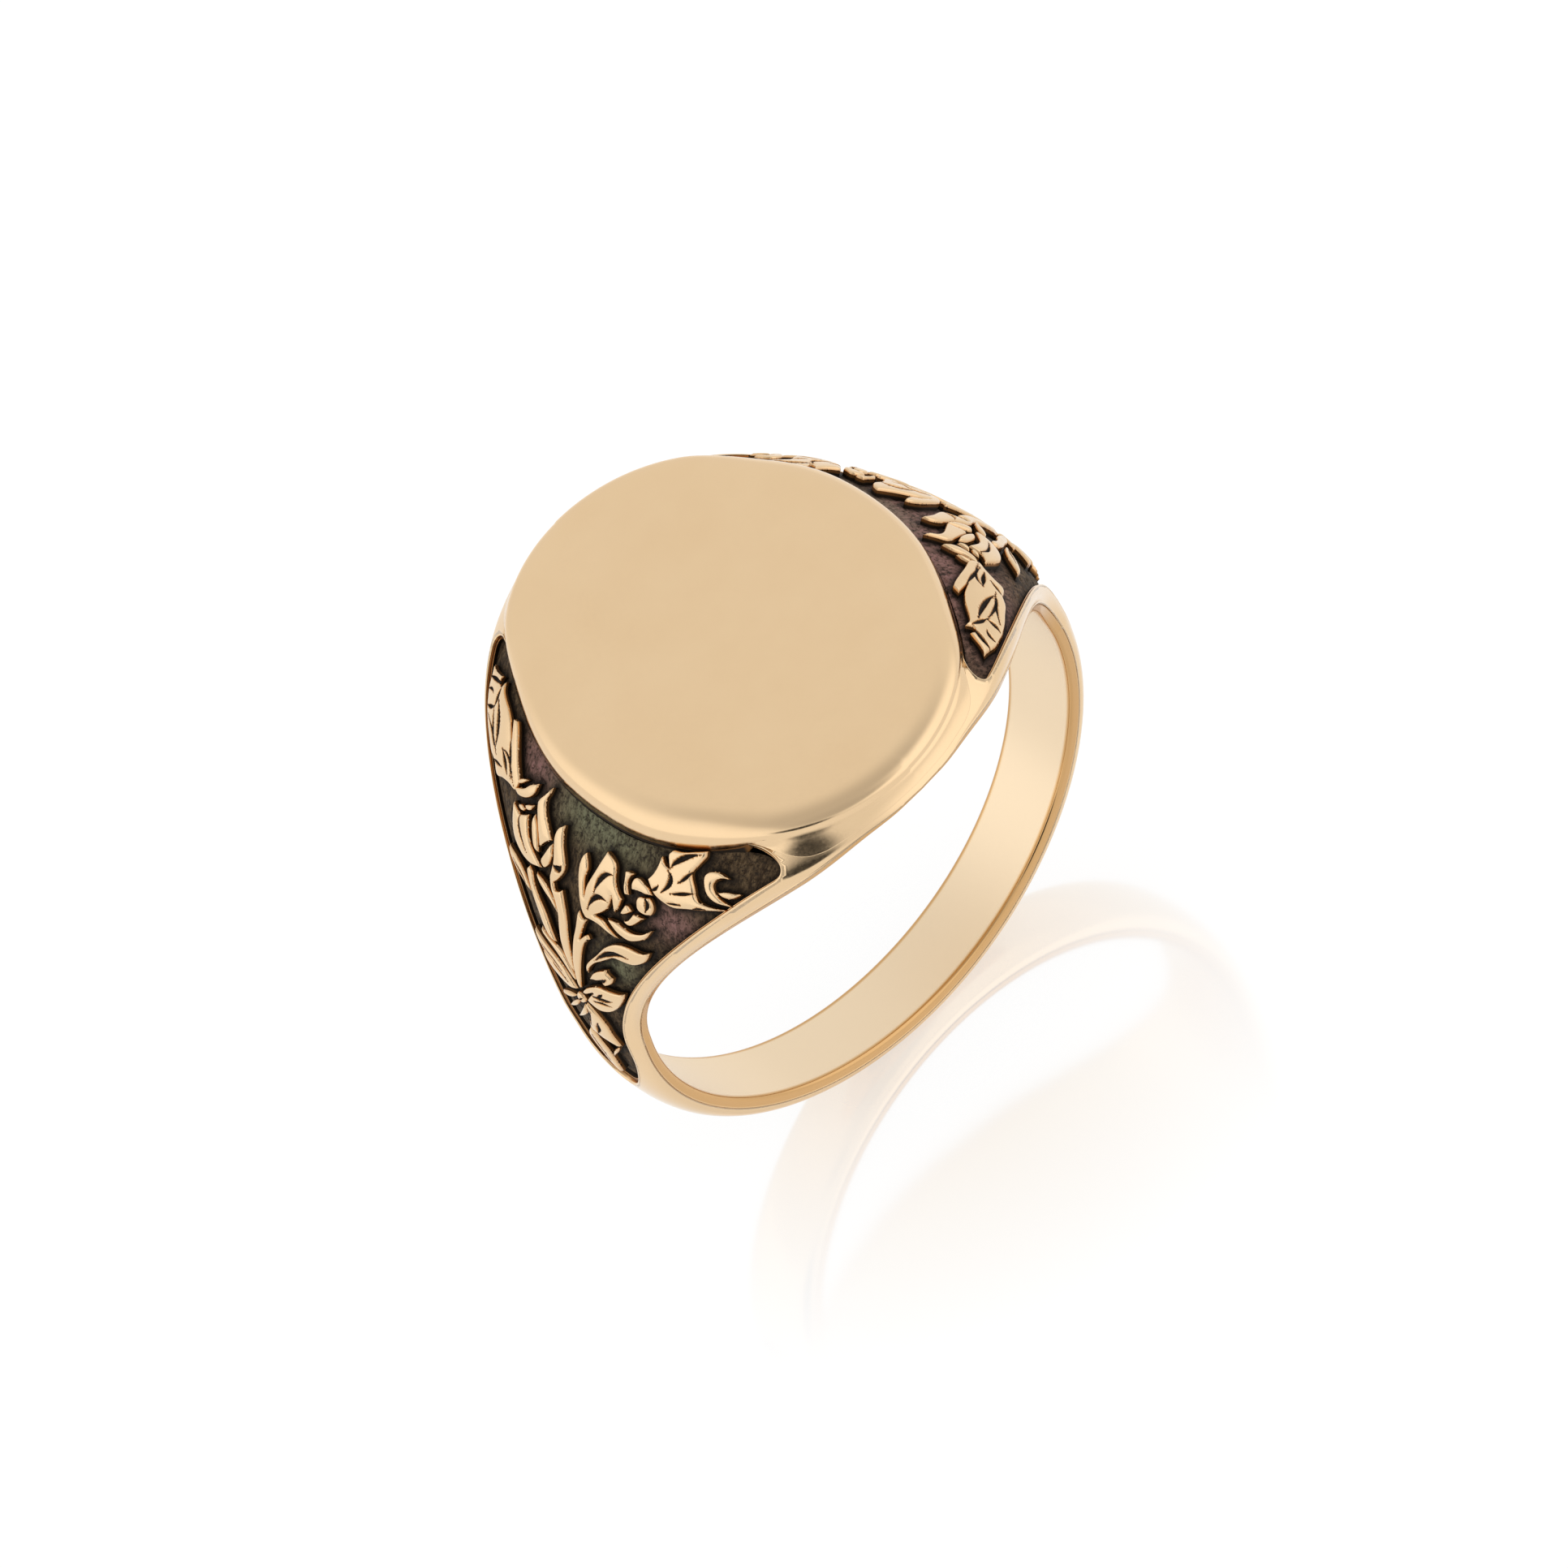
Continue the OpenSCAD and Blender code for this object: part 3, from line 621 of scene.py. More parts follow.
def band_inside(shape, flip):
    """A quarter of the band's side wall, bore edge and bore."""
    h = band_w(RIM_A) / 2
    top = outer_r(RIM_A, h)
    edge_r = np.minimum(BORE_EDGE_R, BORE_EDGE_SHARE * (top - BORE_R))
    rows = [on_hoop(RIM_A, h, top - (top - BORE_R - edge_r) * k / SIDE_ROWS) for k in range(SIDE_ROWS)]
    for roll in np.linspace(0, 90, BORE_EDGE_ROWS):
        rows.append(on_hoop(RIM_A, h - edge_r * (1 - cos(roll)), BORE_R + edge_r * (1 - sin(roll))))
    # The bore rows are satin, and their paler colour is a painted sheen
    satin = np.repeat([0.0, 1.0], np.array([len(rows), BORE_ROWS]) * len(RIM_A))
    for k in range(1, BORE_ROWS + 1):
        rows.append(on_hoop(RIM_A, (h - edge_r) * (1 - k / BORE_ROWS), BORE_R))
    points = np.array(rows)
    normals = -grid_normals(points)
    # Painted shade in deeper gold on the side wall and bore edge rows, for the darker reflections they catch
    shape.add_turned(points, grid_faces(points), normals, flip, satin=satin, deep=1 - satin)


def oval_ring(inset):
    """Points round the oval, moved inwards by an inset, and the unit steps out of it."""
    arcs = [
        (-SIDE_X, 0, SIDE_R, -SIDE_ANGLE, SIDE_ANGLE),
        (0, END_Y, TABLE_END_R, SIDE_ANGLE, 180 - SIDE_ANGLE),
        (SIDE_X, 0, SIDE_R, 180 - SIDE_ANGLE, 180 + SIDE_ANGLE),
        (0, -END_Y, TABLE_END_R, 180 + SIDE_ANGLE, 360 - SIDE_ANGLE),
    ]
    points, steps = [], []
    for x, y, r, first, last in arcs:
        turn = np.linspace(first, last, ARC_STEPS, endpoint=False)
        out = pair(cos(turn), sin(turn))
        points.append(np.array([x, y]) + (r - inset) * out)
        steps.append(out)
    return np.concatenate(points), np.concatenate(steps)


def wall_ring():
    """Points round the table's wall, which stands back from the outline beside the tulips."""
    ring, out = oval_ring(0)
    return ring - tuck_at(-np.sign(ring[:, 0]) * ring[:, 1])[:, None] * out


def surface_z(x, y):
    """Height of the outer surface over a place near the table's outline."""
    a = angle_at(np.abs(x), np.abs(y))
    return -outer_r(a, np.abs(y)) * cos(a)


def corner_gap():
    """How far along the finger each point of the table's outline lies past the panel's corner."""
    ring, _ = oval_ring(0)
    corner_y = np.where(ring[:, 0] * ring[:, 1] < 0, TULIP_END[3], BELL_END[3])
    return np.abs(ring[:, 1]) - corner_y


def past_corner(first, last):
    """Share from 0 to 1 of each point of the table's outline, over a stretch past the panel's corner."""
    return ease((corner_gap() - first) / (last - first))


def skirt_width():
    """Width of the skirt, which grows past the round end of a panel and keeps clear of the band's edge."""
    x, y = np.abs(wall_ring().T)
    room = SKIRT_ROOM * (band_w(angle_at(x, y)) / 2 - y)
    return soft_min(SKIRT_W, room, SKIRT_SOFT) * past_corner(*SKIRT_GROWTH)


# Share of patina on the pedestal's faces, from its wall inwards
SEAT_STAINS = (1.0, 1.0, 0.0, 0.0, 0.0)


def band_seat(shape):
    """The pedestal under the table, with the socket for its plug."""
    ring = wall_ring()
    wall, _ = oval_ring(WALL_T)
    socket, _ = oval_ring(PLUG_INSET - PLUG_CLEAR)
    foot = np.where(corner_gap() < FOOT_GAP, SEAT_Z - FOOT_DROP, surface_z(*ring.T))
    level = np.full(len(ring), SEAT_Z)
    low = level - PLUG_H - PLUG_CLEAR
    rows = [(ring, foot), (wall, foot), (wall, level), (socket, level), (socket, low), (0 * socket, low)]
    rows = [np.column_stack(row) for row in rows]
    for i, stain in enumerate(SEAT_STAINS):
        shape.add_grid(np.array(rows[i:i + 2]), closed=True, patina=stain)


def make_band():
    shape = Shape()
    band_outside(shape, TULIP_END)
    band_outside(shape, BELL_END)
    band_inside(shape, 1)
    band_inside(shape, -1)
    band_seat(shape)
    shape.make_piece("gold_band", band_gold, "band")


# The table

def make_table():
    """The table: its plug, the skirt that meets the flanks, the soft rim and the plain face."""
    ring, out = oval_ring(0)
    wall = wall_ring()
    tuck = np.sum((ring - wall) * out, 1)
    border = 1 - past_corner(*BORDER_FADE)
    skirt = skirt_width()
    rim_foot = FACE_Z - RIM_DROP - (PANEL_RIM_DROP - RIM_DROP) * (1 - past_corner(*RIM_FADE))
    wall_foot = FACE_Z - PANEL_RIM_DROP - WALL_H
    rows, stains = [], []

    def row(inset, z, stain=0.0):
        place = ring - np.reshape(inset, (-1, 1)) * out
        rows.append(np.column_stack([place, np.broadcast_to(z, len(ring))]))
        stains.append(np.broadcast_to(stain, len(ring)))

    def middle_row(z):
        y = np.clip(ring[:, 1], HALF_W - HALF_L, HALF_L - HALF_W)
        rows.append(np.column_stack([0 * y, y, np.full(len(y), z)]))
        stains.append(np.zeros(len(y)))

    middle_row(SEAT_Z - PLUG_H)
    row(PLUG_INSET, SEAT_Z - PLUG_H)
    row(PLUG_INSET, SEAT_Z)
    row(WALL_T, SEAT_Z)
    for k in np.linspace(1, 0, SKIRT_ROWS):
        reach = skirt * k
        place = wall + reach[:, None] * out
        hug = surface_z(*place.T) + SKIRT_RISE * (1 - k) ** SKIRT_POWER - SKIRT_SINK * (k == 1)
        drop = rim_foot + (wall_foot - rim_foot) * k
        z = np.minimum(rim_foot, border * drop + (1 - border) * hug)
        if k == 1:
            row(WALL_T, np.minimum(SEAT_Z, z))
        row(tuck - reach, z, border * ease(SKIRT_STAIN * k))
    for roll in np.linspace(0, 90, RIM_ROWS)[1:]:
        rise = sin(roll) ** (2 / RIM_POWER)
        row(RIM_W - (RIM_W - tuck) * cos(roll) ** (2 / RIM_POWER), rim_foot + (FACE_Z - rim_foot) * rise)
    for inset in np.linspace(RIM_W, HALF_W - FACE_MIDDLE, FACE_ROWS)[1:]:
        row(inset, FACE_Z)
    middle_row(FACE_Z)
    points = np.array(rows)
    normals = grid_normals(points, closed=True)
    normals[-FACE_ROWS - 1:] = [0, 0, 1]
    normals[:2] = [0, 0, -1]
    shape = Shape()
    shape.add(points, grid_faces(points, closed=True), normals, patina=np.concatenate(stains))
    shape.make_piece("oval_table", table_gold, "signet_table")


# The ground in the panels

def panel_half(end, drop):
    """Places in half the panel, row by row from its tip to the table."""
    _, way, _, corner_y = end
    up = np.linspace(0, 1, GROUND_ROWS)
    edge = panel_edge(end, up, drop)
    top_a = float(wall_a(0.0, way, drop))
    spine_a = POCKET_START + (top_a - POCKET_START) * np.interp(up, [0, RAIL_SHARE, 1], [0, SPINE_SHARE, 1])
    u = np.linspace(0, 1, GROUND_COLUMNS)
    bow = wall_a(u * corner_y, way, drop) - (1 - u) * top_a - u * float(wall_a(corner_y, way, drop))
    a = (1 - u) * spine_a[:, None] + u * edge[:, 0:1] + up[:, None] * bow
    return pair(a, u * edge[:, 1:2])


def panel_grid(drop):
    bell_half = panel_half(BELL_END, drop) * [1, -1]
    return np.concatenate([bell_half[:, :0:-1], panel_half(TULIP_END, drop)], 1)


def raised_gap(places):
    """Distance of flat places in the panel from the nearest raised edge."""
    edges = [loop for plan in SPRAY.values() for loop in spray_loops(plan)]
    edges.append(panel_edge(TULIP_END) * FLAT)
    edges.append(panel_edge(BELL_END) * FLAT * [1, -1])
    edges = np.concatenate(edges)
    tree = KDTree(len(edges))
    for i, (u, v) in enumerate(edges.tolist()):
        tree.insert((u, v, 0), i)
    tree.balance()
    return np.array([tree.find((u, v, 0))[2] for u, v in places.tolist()])


# Tool marks in the ground: their scale round the hoop and along the finger, their layer of noise, their depth
STROKE_SCALE, STROKE_LAYER, STROKE_DEPTH = (2.2, 7.0), 3.0, 0.016
ROUGH_SCALE, ROUGH_LAYER, ROUGH_DEPTH = (9.0, 9.0), 11.0, 0.012
PIT_SCALE, PIT_LAYER, PIT_DEPTH, PIT_LEVEL = (6.5, 6.5), 23.0, 0.16, 0.28


def noise_at(places, scale, layer):
    return np.array([noise.noise((u, v, layer)) for u, v in (places * scale).tolist()])


def chisel_marks(places):
    """Depth of the tool marks at flat places in the ground: short strokes and small pits."""
    strokes = STROKE_DEPTH * noise_at(places, STROKE_SCALE, STROKE_LAYER)
    rough = ROUGH_DEPTH * noise_at(places, ROUGH_SCALE, ROUGH_LAYER)
    pits = PIT_DEPTH * np.maximum(0, noise_at(places, PIT_SCALE, PIT_LAYER) - PIT_LEVEL)
    return strokes + rough + pits


SHADE_SHARE, SHADE_REACH = 0.92, 0.19
# Patches of colour in the ground: place along the finger, angle, half width and half height
GREEN_PATCHES = [(-0.6, 142, 2.2, 4.5), (-1.9, 118, 0.7, 4)]
MAUVE_PATCHES = {
    "left": [(2.7, 144, 1.0, 4.5), (-3.7, 133, 0.9, 4)],
    "right": [(2.2, 143, 2.6, 8), (5.6, 146, 2.0, 9), (-1.0, 132, 3.0, 8)],
}


def patches(places, spots):
    a, y = places[..., 0], places[..., 1]
    share = sum(hump(y, spot_y, wide) * hump(a, spot_a, tall) for spot_y, spot_a, wide, tall in spots)
    return np.clip(share, 0, 1).ravel()


def make_ground(side, turned):
    places = panel_grid(RELIEF_H)
    flat = (places * FLAT).reshape(-1, 2)
    drop = RELIEF_H + chisel_marks(flat).reshape(places.shape[:2])
    shape = Shape()
    shape.add_grid(
        on_ring(places, drop) * [turned, turned, 1],
        green=patches(places, GREEN_PATCHES), mauve=patches(places, MAUVE_PATCHES[side]),
        shade=SHADE_SHARE * hump(raised_gap(flat), 0, SHADE_REACH),
    )
    shape.make_piece(f"{side}_panel_ground", dark_ground, f"{side}_ground")


# The raised spray. Outlines run through points [along the finger, angle], and 1 marks a sharp point.
# A leaf is given by one end, its middle, its other end and its width, and a cut by the same four.
SPRAY = {}
SPRAY["bell_flower"] = {"outlines": [[
    (-4.43, 148.8, 1), (-4.1, 147.7), (-3.75, 146.6), (-3.42, 146, 1), (-3.33, 145), (-3.42, 143.7),
    (-3.5, 142.9, 1), (-3.3, 143.2), (-3.13, 144.1, 1), (-3.1, 142.4), (-3.02, 140.7), (-2.88, 139.3, 1),
    (-3.04, 138.3), (-3.24, 137.3), (-3.55, 136.8), (-3.9, 136.7), (-4.3, 137.6), (-4.8, 138.8),
    (-5.2, 139.9), (-5.47, 140.8, 1), (-5, 140.2), (-4.65, 140.1), (-4.5, 140.9, 1), (-4.42, 142),
    (-4.27, 143.3, 1), (-4.21, 144.3), (-4.34, 146), (-4.46, 147.7),
], [
    (-5.3, 146.4, 1), (-5, 146.7), (-4.72, 146), (-4.6, 144.8), (-4.68, 143.2), (-4.85, 141.9),
    (-5.15, 141.3), (-5.55, 141.8, 1), (-5.2, 142.5), (-4.98, 143.3), (-4.92, 144.4), (-5.04, 145.5),
]], "leaves": [((-5.1, 143.3), (-5.4, 143.6), (-5.75, 144.9), 0.24)], "cuts": [
    ((-4.33, 147.8), (-3.82, 145.6), (-3.55, 143.1), 0.22),
    ((-4.22, 144.4), (-4.1, 142.9), (-3.94, 141.5), 0.14),
    ((-4.47, 141.1), (-4.15, 140.1), (-3.76, 139), 0.14),
    ((-3.52, 142.5), (-3.67, 140.9), (-3.44, 138.2), 0.2),
    ((-3.34, 139.4), (-3.24, 138.4), (-3.08, 137.7), 0.13),
    ((-4.9, 139.3), (-4.7, 138.9), (-4.5, 138.2), 0.09),
    ((-4.15, 138), (-3.95, 137.6), (-3.7, 137.1), 0.09),
]}
SPRAY["rose_bloom"] = {"outlines": [[
    (-0.86, 125.9, 1), (-0.68, 126.8), (-0.54, 128.4), (-0.42, 130.6), (-0.32, 133.2), (-0.31, 135),
    (-0.37, 136.4), (-0.47, 137.1, 1), (-0.58, 136.2), (-0.67, 134.6), (-0.61, 132.8), (-0.7, 129.7, 1),
    (-0.74, 131.9), (-0.94, 134.9), (-1.14, 138), (-1.25, 139.6, 1), (-1.5, 139.1), (-1.7, 138),
    (-1.78, 135.8), (-1.92, 134.3), (-2.12, 133.2, 1), (-2.06, 131.6), (-1.93, 130.1, 1), (-1.76, 132.8, 1),
    (-1.66, 130.2), (-1.48, 128.8), (-1.21, 127.5, 1), (-1.5, 127.5), (-1.75, 126.7), (-2.14, 125.4, 1),
    (-1.75, 125.7), (-1.4, 126.1), (-1.1, 126.1),
], [
    (-2.06, 138.4, 1), (-2.1, 137), (-2.13, 135.5), (-2.22, 134.5), (-2.34, 134.7, 1), (-2.25, 136),
    (-2.23, 137.2), (-2.36, 138.6, 1), (-2.2, 138.7),
], [
    (-3.14, 136.9, 1), (-3, 137.8), (-2.8, 138.2), (-2.6, 138.6), (-2.45, 138.2), (-2.38, 137),
    (-2.43, 135.9, 1), (-2.6, 136.2), (-2.8, 136.4), (-2.97, 136.5),
], [
    (-3.1, 136.2), (-3.26, 134.8), (-3.2, 133.3), (-3, 132.8), (-2.75, 133.1), (-2.66, 134.6),
    (-2.74, 135.6), (-2.93, 135.9),
], [
    (-2.98, 131.9, 1), (-2.8, 132), (-2.62, 131.9, 1), (-2.55, 131.1), (-2.45, 130.2), (-2.29, 129.6, 1),
    (-2.45, 129.2), (-2.6, 129.4), (-2.76, 130.3), (-2.88, 131.2),
], [
    (-2.53, 132.1, 1), (-2.4, 132.8), (-2.3, 132.8, 1), (-2.22, 131.8), (-2.14, 130.6, 1), (-2.3, 130.8),
    (-2.45, 131.5),
], [
    (-3.27, 130.3, 1), (-3, 129), (-2.8, 128.4), (-2.55, 128.1), (-2.3, 128.3), (-2, 128.6),
    (-1.68, 128.3, 1), (-2, 127), (-2.25, 126.4), (-2.55, 126.2), (-2.8, 126.8), (-3.06, 128),
]], "cuts": [
    ((-1.7, 136.5), (-1.3, 135), (-1.1, 131.3), 0.22), ((-1.66, 131.4), (-1.2, 131), (-0.95, 128), 0.22),
    ((-2.93, 135.9), (-3.08, 135), (-3.06, 133.5), 0.19),
]}
SPRAY["side_bloom"] = {"outlines": [[
    (1.52, 143.1, 1), (1.75, 141.3), (1.94, 139.8), (1.93, 138.4), (1.76, 136), (1.58, 133.8),
    (1.48, 132.4, 1), (1.25, 133.9), (1.02, 135, 1), (1.3, 136.9), (1.55, 138.8), (1.63, 140.4),
    (1.55, 141.8),
], [
    (0.95, 134.6, 1), (0.89, 132.6), (0.96, 130.6), (1.14, 129.5), (1.34, 130.4), (1.2, 132.3),
    (1.05, 134, 1),
], [
    (1.97, 137.1, 1), (1.78, 135.7), (1.62, 133.6), (1.52, 131.2, 1), (1.75, 131.7), (1.92, 133.5),
    (2.03, 135.6),
], [
    (1.28, 129, 1), (1.8, 128.2), (2.3, 128.6), (2.75, 130.2), (2.97, 132.6), (3.08, 136.2, 1),
    (2.66, 135, 1), (2.45, 135.6), (2.26, 136.1, 1), (2.17, 134.2), (2.02, 132.2), (1.7, 130.6),
], [
    (2.14, 142, 1), (2.45, 141.1), (2.72, 139.7), (2.95, 139.1), (3.2, 138.5, 1), (2.9, 137.8),
    (2.5, 138.4), (2.22, 139.9),
], [
    (2.65, 141.2, 1), (2.88, 141), (3.13, 140, 1), (3.02, 139.6), (2.84, 140.1),
], [
    (2.1, 138.2, 1), (2.33, 137.8), (2.5, 137.2, 1), (2.38, 136.7), (2.2, 137),
], [
    (2.46, 136.6, 1), (2.65, 136.9), (2.82, 136.4, 1), (2.68, 135.9), (2.5, 136),
]], "cuts": [((2.6, 135.1), (2.5, 132.6), (2, 129.8), 0.13)]}
SPRAY["tulip"] = {"outlines": [[
    (3, 140.1, 1), (3.3, 142.5), (3.58, 145.2), (3.8, 147.2), (3.95, 148.2, 1), (4.2, 148.1, 1),
    (4.12, 147), (3.95, 144.9, 1), (4.15, 146.4), (4.32, 147.5), (4.62, 148.7), (5, 149.8), (5.22, 150.7),
    (5.32, 152, 1), (5.42, 150.9), (5.5, 150.8), (5.6, 151.2), (5.6, 152.3, 1), (6.08, 152.3),
    (6.36, 152.8, 1), (6.28, 151.4), (6.22, 150), (6.16, 148.8), (5.98, 147), (5.86, 145.8), (5.76, 145.1),
    (5.5, 143.4), (5.2, 141.8), (4.92, 140.3), (4.7, 139.7), (4.52, 139.2), (4.38, 138.1), (4.2, 137.5),
    (3.9, 138), (3.5, 138.2), (3.15, 138), (3.03, 139),
]], "cuts": [
    ((6.3, 150.8), (5.86, 151.1), (5.4, 151.1), 0.19), ((6.12, 148.8), (5.9, 149.2), (5.7, 149), 0.14),
    ((5.85, 146.4), (5.6, 146.6), (5.38, 147.3), 0.19), ((5.38, 151), (5.38, 149), (5.35, 147.3), 0.16),
    ((5.3, 149), (4.85, 145.5), (4.6, 142), 0.21), ((5.35, 147), (5, 143.5), (4.7, 141.8), 0.14),
    ((5.6, 145.3), (5, 143.3), (4.45, 140.8), 0.11), ((4.2, 142.6), (3.9, 141), (3.65, 139.5), 0.19),
    ((4.15, 142.5), (3.75, 142), (3.2, 138.7), 0.11), ((3.98, 145.3), (3.72, 142.6), (3.42, 139.4), 0.15),
    ((4.6, 139.7), (4.3, 139.7), (4, 139.8), 0.14),
]}
SPRAY["rose_stem"] = {"outlines": [[
    (-0.4, 108.6), (-0.47, 111), (-0.54, 114), (-0.62, 116.6), (-0.74, 119.4), (-0.9, 121.2),
    (-1.03, 121.9, 1), (-0.93, 122.6), (-0.78, 121.9), (-0.62, 120.7, 1), (-0.7, 122.6), (-0.8, 124.4),
    (-0.88, 125.5, 1), (-0.7, 125.4), (-0.54, 126.4, 1), (-0.49, 125.4), (-0.44, 122.8), (-0.35, 120.3),
    (-0.29, 117.6), (-0.25, 115), (-0.27, 112.4), (-0.31, 110.2),
]]}
SPRAY["middle_leaf"] = {"outlines": [[
    (-0.27, 111.9, 1), (-0.2, 115), (-0.09, 119), (-0.02, 122.8), (0.1, 125.4), (0.26, 127.8, 1),
    (0.42, 127.2), (0.57, 126.9, 1), (0.66, 128.1, 1), (0.5, 129), (0.36, 130.3), (0.27, 131.6),
    (0.3, 133.1), (0.5, 135.6), (0.58, 137.3), (0.62, 138.9, 1), (0.84, 137.9), (0.93, 136.2),
    (0.87, 134.2), (0.79, 132), (0.82, 130), (0.84, 128.7), (0.72, 126.7), (0.5, 124.8), (0.37, 122.9),
    (0.31, 120), (0.24, 117.4), (0.04, 114.4),
]], "cuts": [
    ((0.05, 131.2), (0.36, 129.4), (0.7, 127.9), 0.13), ((0.36, 132.3), (0.52, 131.2), (0.74, 131.5), 0.29),
]}
SPRAY["side_stem"] = {"outlines": [[
    (0.33, 122.6, 1), (0.44, 124), (0.62, 125.1), (0.9, 126.4), (1.2, 127.2), (1.5, 127.5, 1),
    (1.35, 126.4), (1.05, 125.3), (0.72, 124.4), (0.48, 123.4),
]]}
SPRAY["far_stem"] = {"outlines": [[
    (0.5, 116.1, 1), (0.72, 118.3), (1, 121), (1.4, 123.5), (1.6, 125.4), (1.7, 127), (1.86, 127.6, 1),
    (1.97, 126.6), (1.85, 124.9), (1.6, 122.5), (1.3, 120), (1.05, 117.8), (0.8, 116.5),
]]}
SPRAY["far_leaf"] = {"outlines": [[
    (1.7, 122.7, 1), (1.9, 124.2), (2.2, 125.7), (2.6, 126.8), (3.15, 127.4, 1), (3, 125.8), (2.6, 124.5),
    (2.1, 123.5),
]], "cuts": [((1.95, 123.7), (2.3, 124.9), (2.75, 126), 0.1)]}
SPRAY["branch_leaf"] = {"outlines": [[
    (-0.28, 109.8, 1), (-0.2, 111.4), (-0.02, 113.2), (0.2, 114.9), (0.5, 115.6), (0.85, 116),
    (1.25, 117, 1), (1.15, 115.9), (0.7, 114.7), (0.3, 113.2), (0.02, 111.6),
]]}
SPRAY["far_bow_leaf"] = {"outlines": [[
    (-0.22, 107.8, 1), (-0.02, 109.4), (0.22, 111), (0.6, 112.4), (1.1, 113.5), (1.72, 114.8, 1),
    (1.6, 113.1), (1.25, 111.6), (0.78, 110.6, 1), (1.42, 110.8, 1), (1.1, 109.1), (0.6, 107.8),
    (0.1, 107.1),
]], "cuts": [
    ((0.1, 108.6), (0.5, 109.9), (0.95, 110.9), 0.14), ((0.35, 110.4), (0.75, 111.7), (1.3, 112.8), 0.1),
]}
SPRAY["scroll_leaf"] = {"outlines": [[
    (-3.17, 125.2, 1), (-2.9, 124.6), (-2.6, 124.7), (-2.3, 124.6), (-1.95, 123.8), (-1.6, 122),
    (-1.3, 119.6), (-1, 117.4), (-0.84, 115.7), (-0.84, 113.8, 1), (-0.95, 115.3), (-1.2, 117.2),
    (-1.5, 118.6), (-1.75, 119.8), (-2, 120.8), (-2.35, 120.9), (-2.65, 121.1), (-2.92, 122.2),
    (-3.08, 123.7),
]], "cuts": [((-2.52, 122.4), (-1.86, 121.5), (-1.26, 118.2), 0.23)]}
SPRAY["small_leaf"] = {"outlines": [[
    (-1.82, 115.4, 1), (-1.64, 116.2), (-1.62, 117, 1), (-1.3, 115.9), (-1.06, 114.5), (-0.88, 112.6, 1),
    (-1.12, 113.2), (-1.38, 113.4), (-1.52, 112.9, 1), (-1.72, 113.9),
]], "cuts": [((-1.62, 115), (-1.42, 113.9), (-1.05, 112.9), 0.17)]}
SPRAY["bow_leaf"] = {"outlines": [[
    (-2.07, 112.1, 1), (-1.7, 111.8), (-1.25, 111.8), (-0.95, 111), (-0.65, 109.6), (-0.46, 108.1, 1),
    (-0.62, 108), (-0.96, 109.5, 1), (-0.72, 107.7), (-0.6, 106.5, 1), (-0.85, 105.6), (-1.1, 105.2),
    (-1.45, 105.9), (-1.7, 107.4), (-1.88, 109.2), (-2, 110.8),
]], "cuts": [
    ((-1.66, 109.5), (-1.3, 108.9), (-0.86, 108.7), 0.23),
    ((-1.55, 107.9), (-1.3, 107.9), (-0.95, 107.5), 0.17),
    ((-1.36, 110.5), (-1.25, 109.8), (-1.1, 108.9), 0.14),
]}
SPRAY["knot"] = {"outlines": [[
    (-0.5, 106), (-0.38, 107), (-0.22, 107), (-0.12, 106), (-0.2, 104.9), (-0.38, 104.8),
]], "cuts": [((-0.42, 106.3), (-0.32, 105.8), (-0.24, 105.2), 0.09)]}
SPRAY["lower_leaves"] = {"outlines": [[
    (-0.5, 105.2, 1), (-0.66, 104.2), (-0.85, 102.6), (-1.02, 100.2), (-1.07, 97.6), (-1.2, 94.4, 1),
    (-0.9, 95.2), (-0.55, 96.1), (-0.26, 97.4), (-0.32, 99.8), (-0.48, 102.4), (-0.43, 104.4),
]], "leaves": [
    ((-0.34, 104.3), (-0.2, 101.6), (0.3, 98.2), 0.2), ((-0.16, 104.6), (0.16, 102.4), (0.58, 100), 0.18),
    ((-0.06, 105.4), (0.32, 104.2), (0.8, 102.9), 0.2),
], "cuts": [
    ((-0.76, 100.9), (-0.68, 99), (-0.58, 97.2), 0.22), ((-0.6, 103.4), (-0.46, 101), (-0.36, 98.6), 0.1),
]}
SPRAY["tail_leaf"] = {"outlines": [[
    (-0.16, 97, 1), (-0.24, 95), (-0.33, 92.6), (-0.42, 90.2), (-0.42, 87.5), (-0.38, 84), (-0.28, 81.4, 1),
    (-0.1, 84.5), (0.04, 88), (0.12, 91), (0.12, 94),
]], "leaves": [((-1.06, 93.6), (-0.82, 91.6), (-0.52, 88.6), 0.13)], "cuts": [
    ((-0.1, 94.6), (-0.16, 91), (-0.24, 86.5), 0.09),
]}

# The relief's rounded edge, crown, walls and cuts, and the share of patina on them
RELIEF_EDGE, RELIEF_CROWN, CROWN_REACH, RELIEF_SUNK = 0.075, 0.045, 0.12, 0.06
EDGE_STAIN, WALL_STAINS = 0.36, (0.34, 0.6, 0.9, 1.0, 1.0)
CUT_DEPTH, CUT_SLOPE, CUT_KEEP, CUT_LEAST, CUT_STAIN, CUT_REACH = 0.15, 1.6, 0.3, 0.004, 3.2, 0.5
# Its mesh: steps along outlines and lines, rows beside an edge and along a cut, and the points between them
OUTLINE_STEP, LINE_STEPS = 0.035, 24
EDGE_ROWS, EDGE_ROW_SHARE, CUT_ROWS = (0.022, 0.05, 0.085), 0.93, (-1, -0.5, 0, 0.5, 1)
PITCH, EDGE_CLEAR, POINT_CELL = 0.075, 0.018, 0.02


def flat_points(points):
    """Points [along the finger, angle] as flat millimetres [round the hoop, along the finger]."""
    return np.array([(point[1] * ANGLE_MM, point[0]) for point in points])


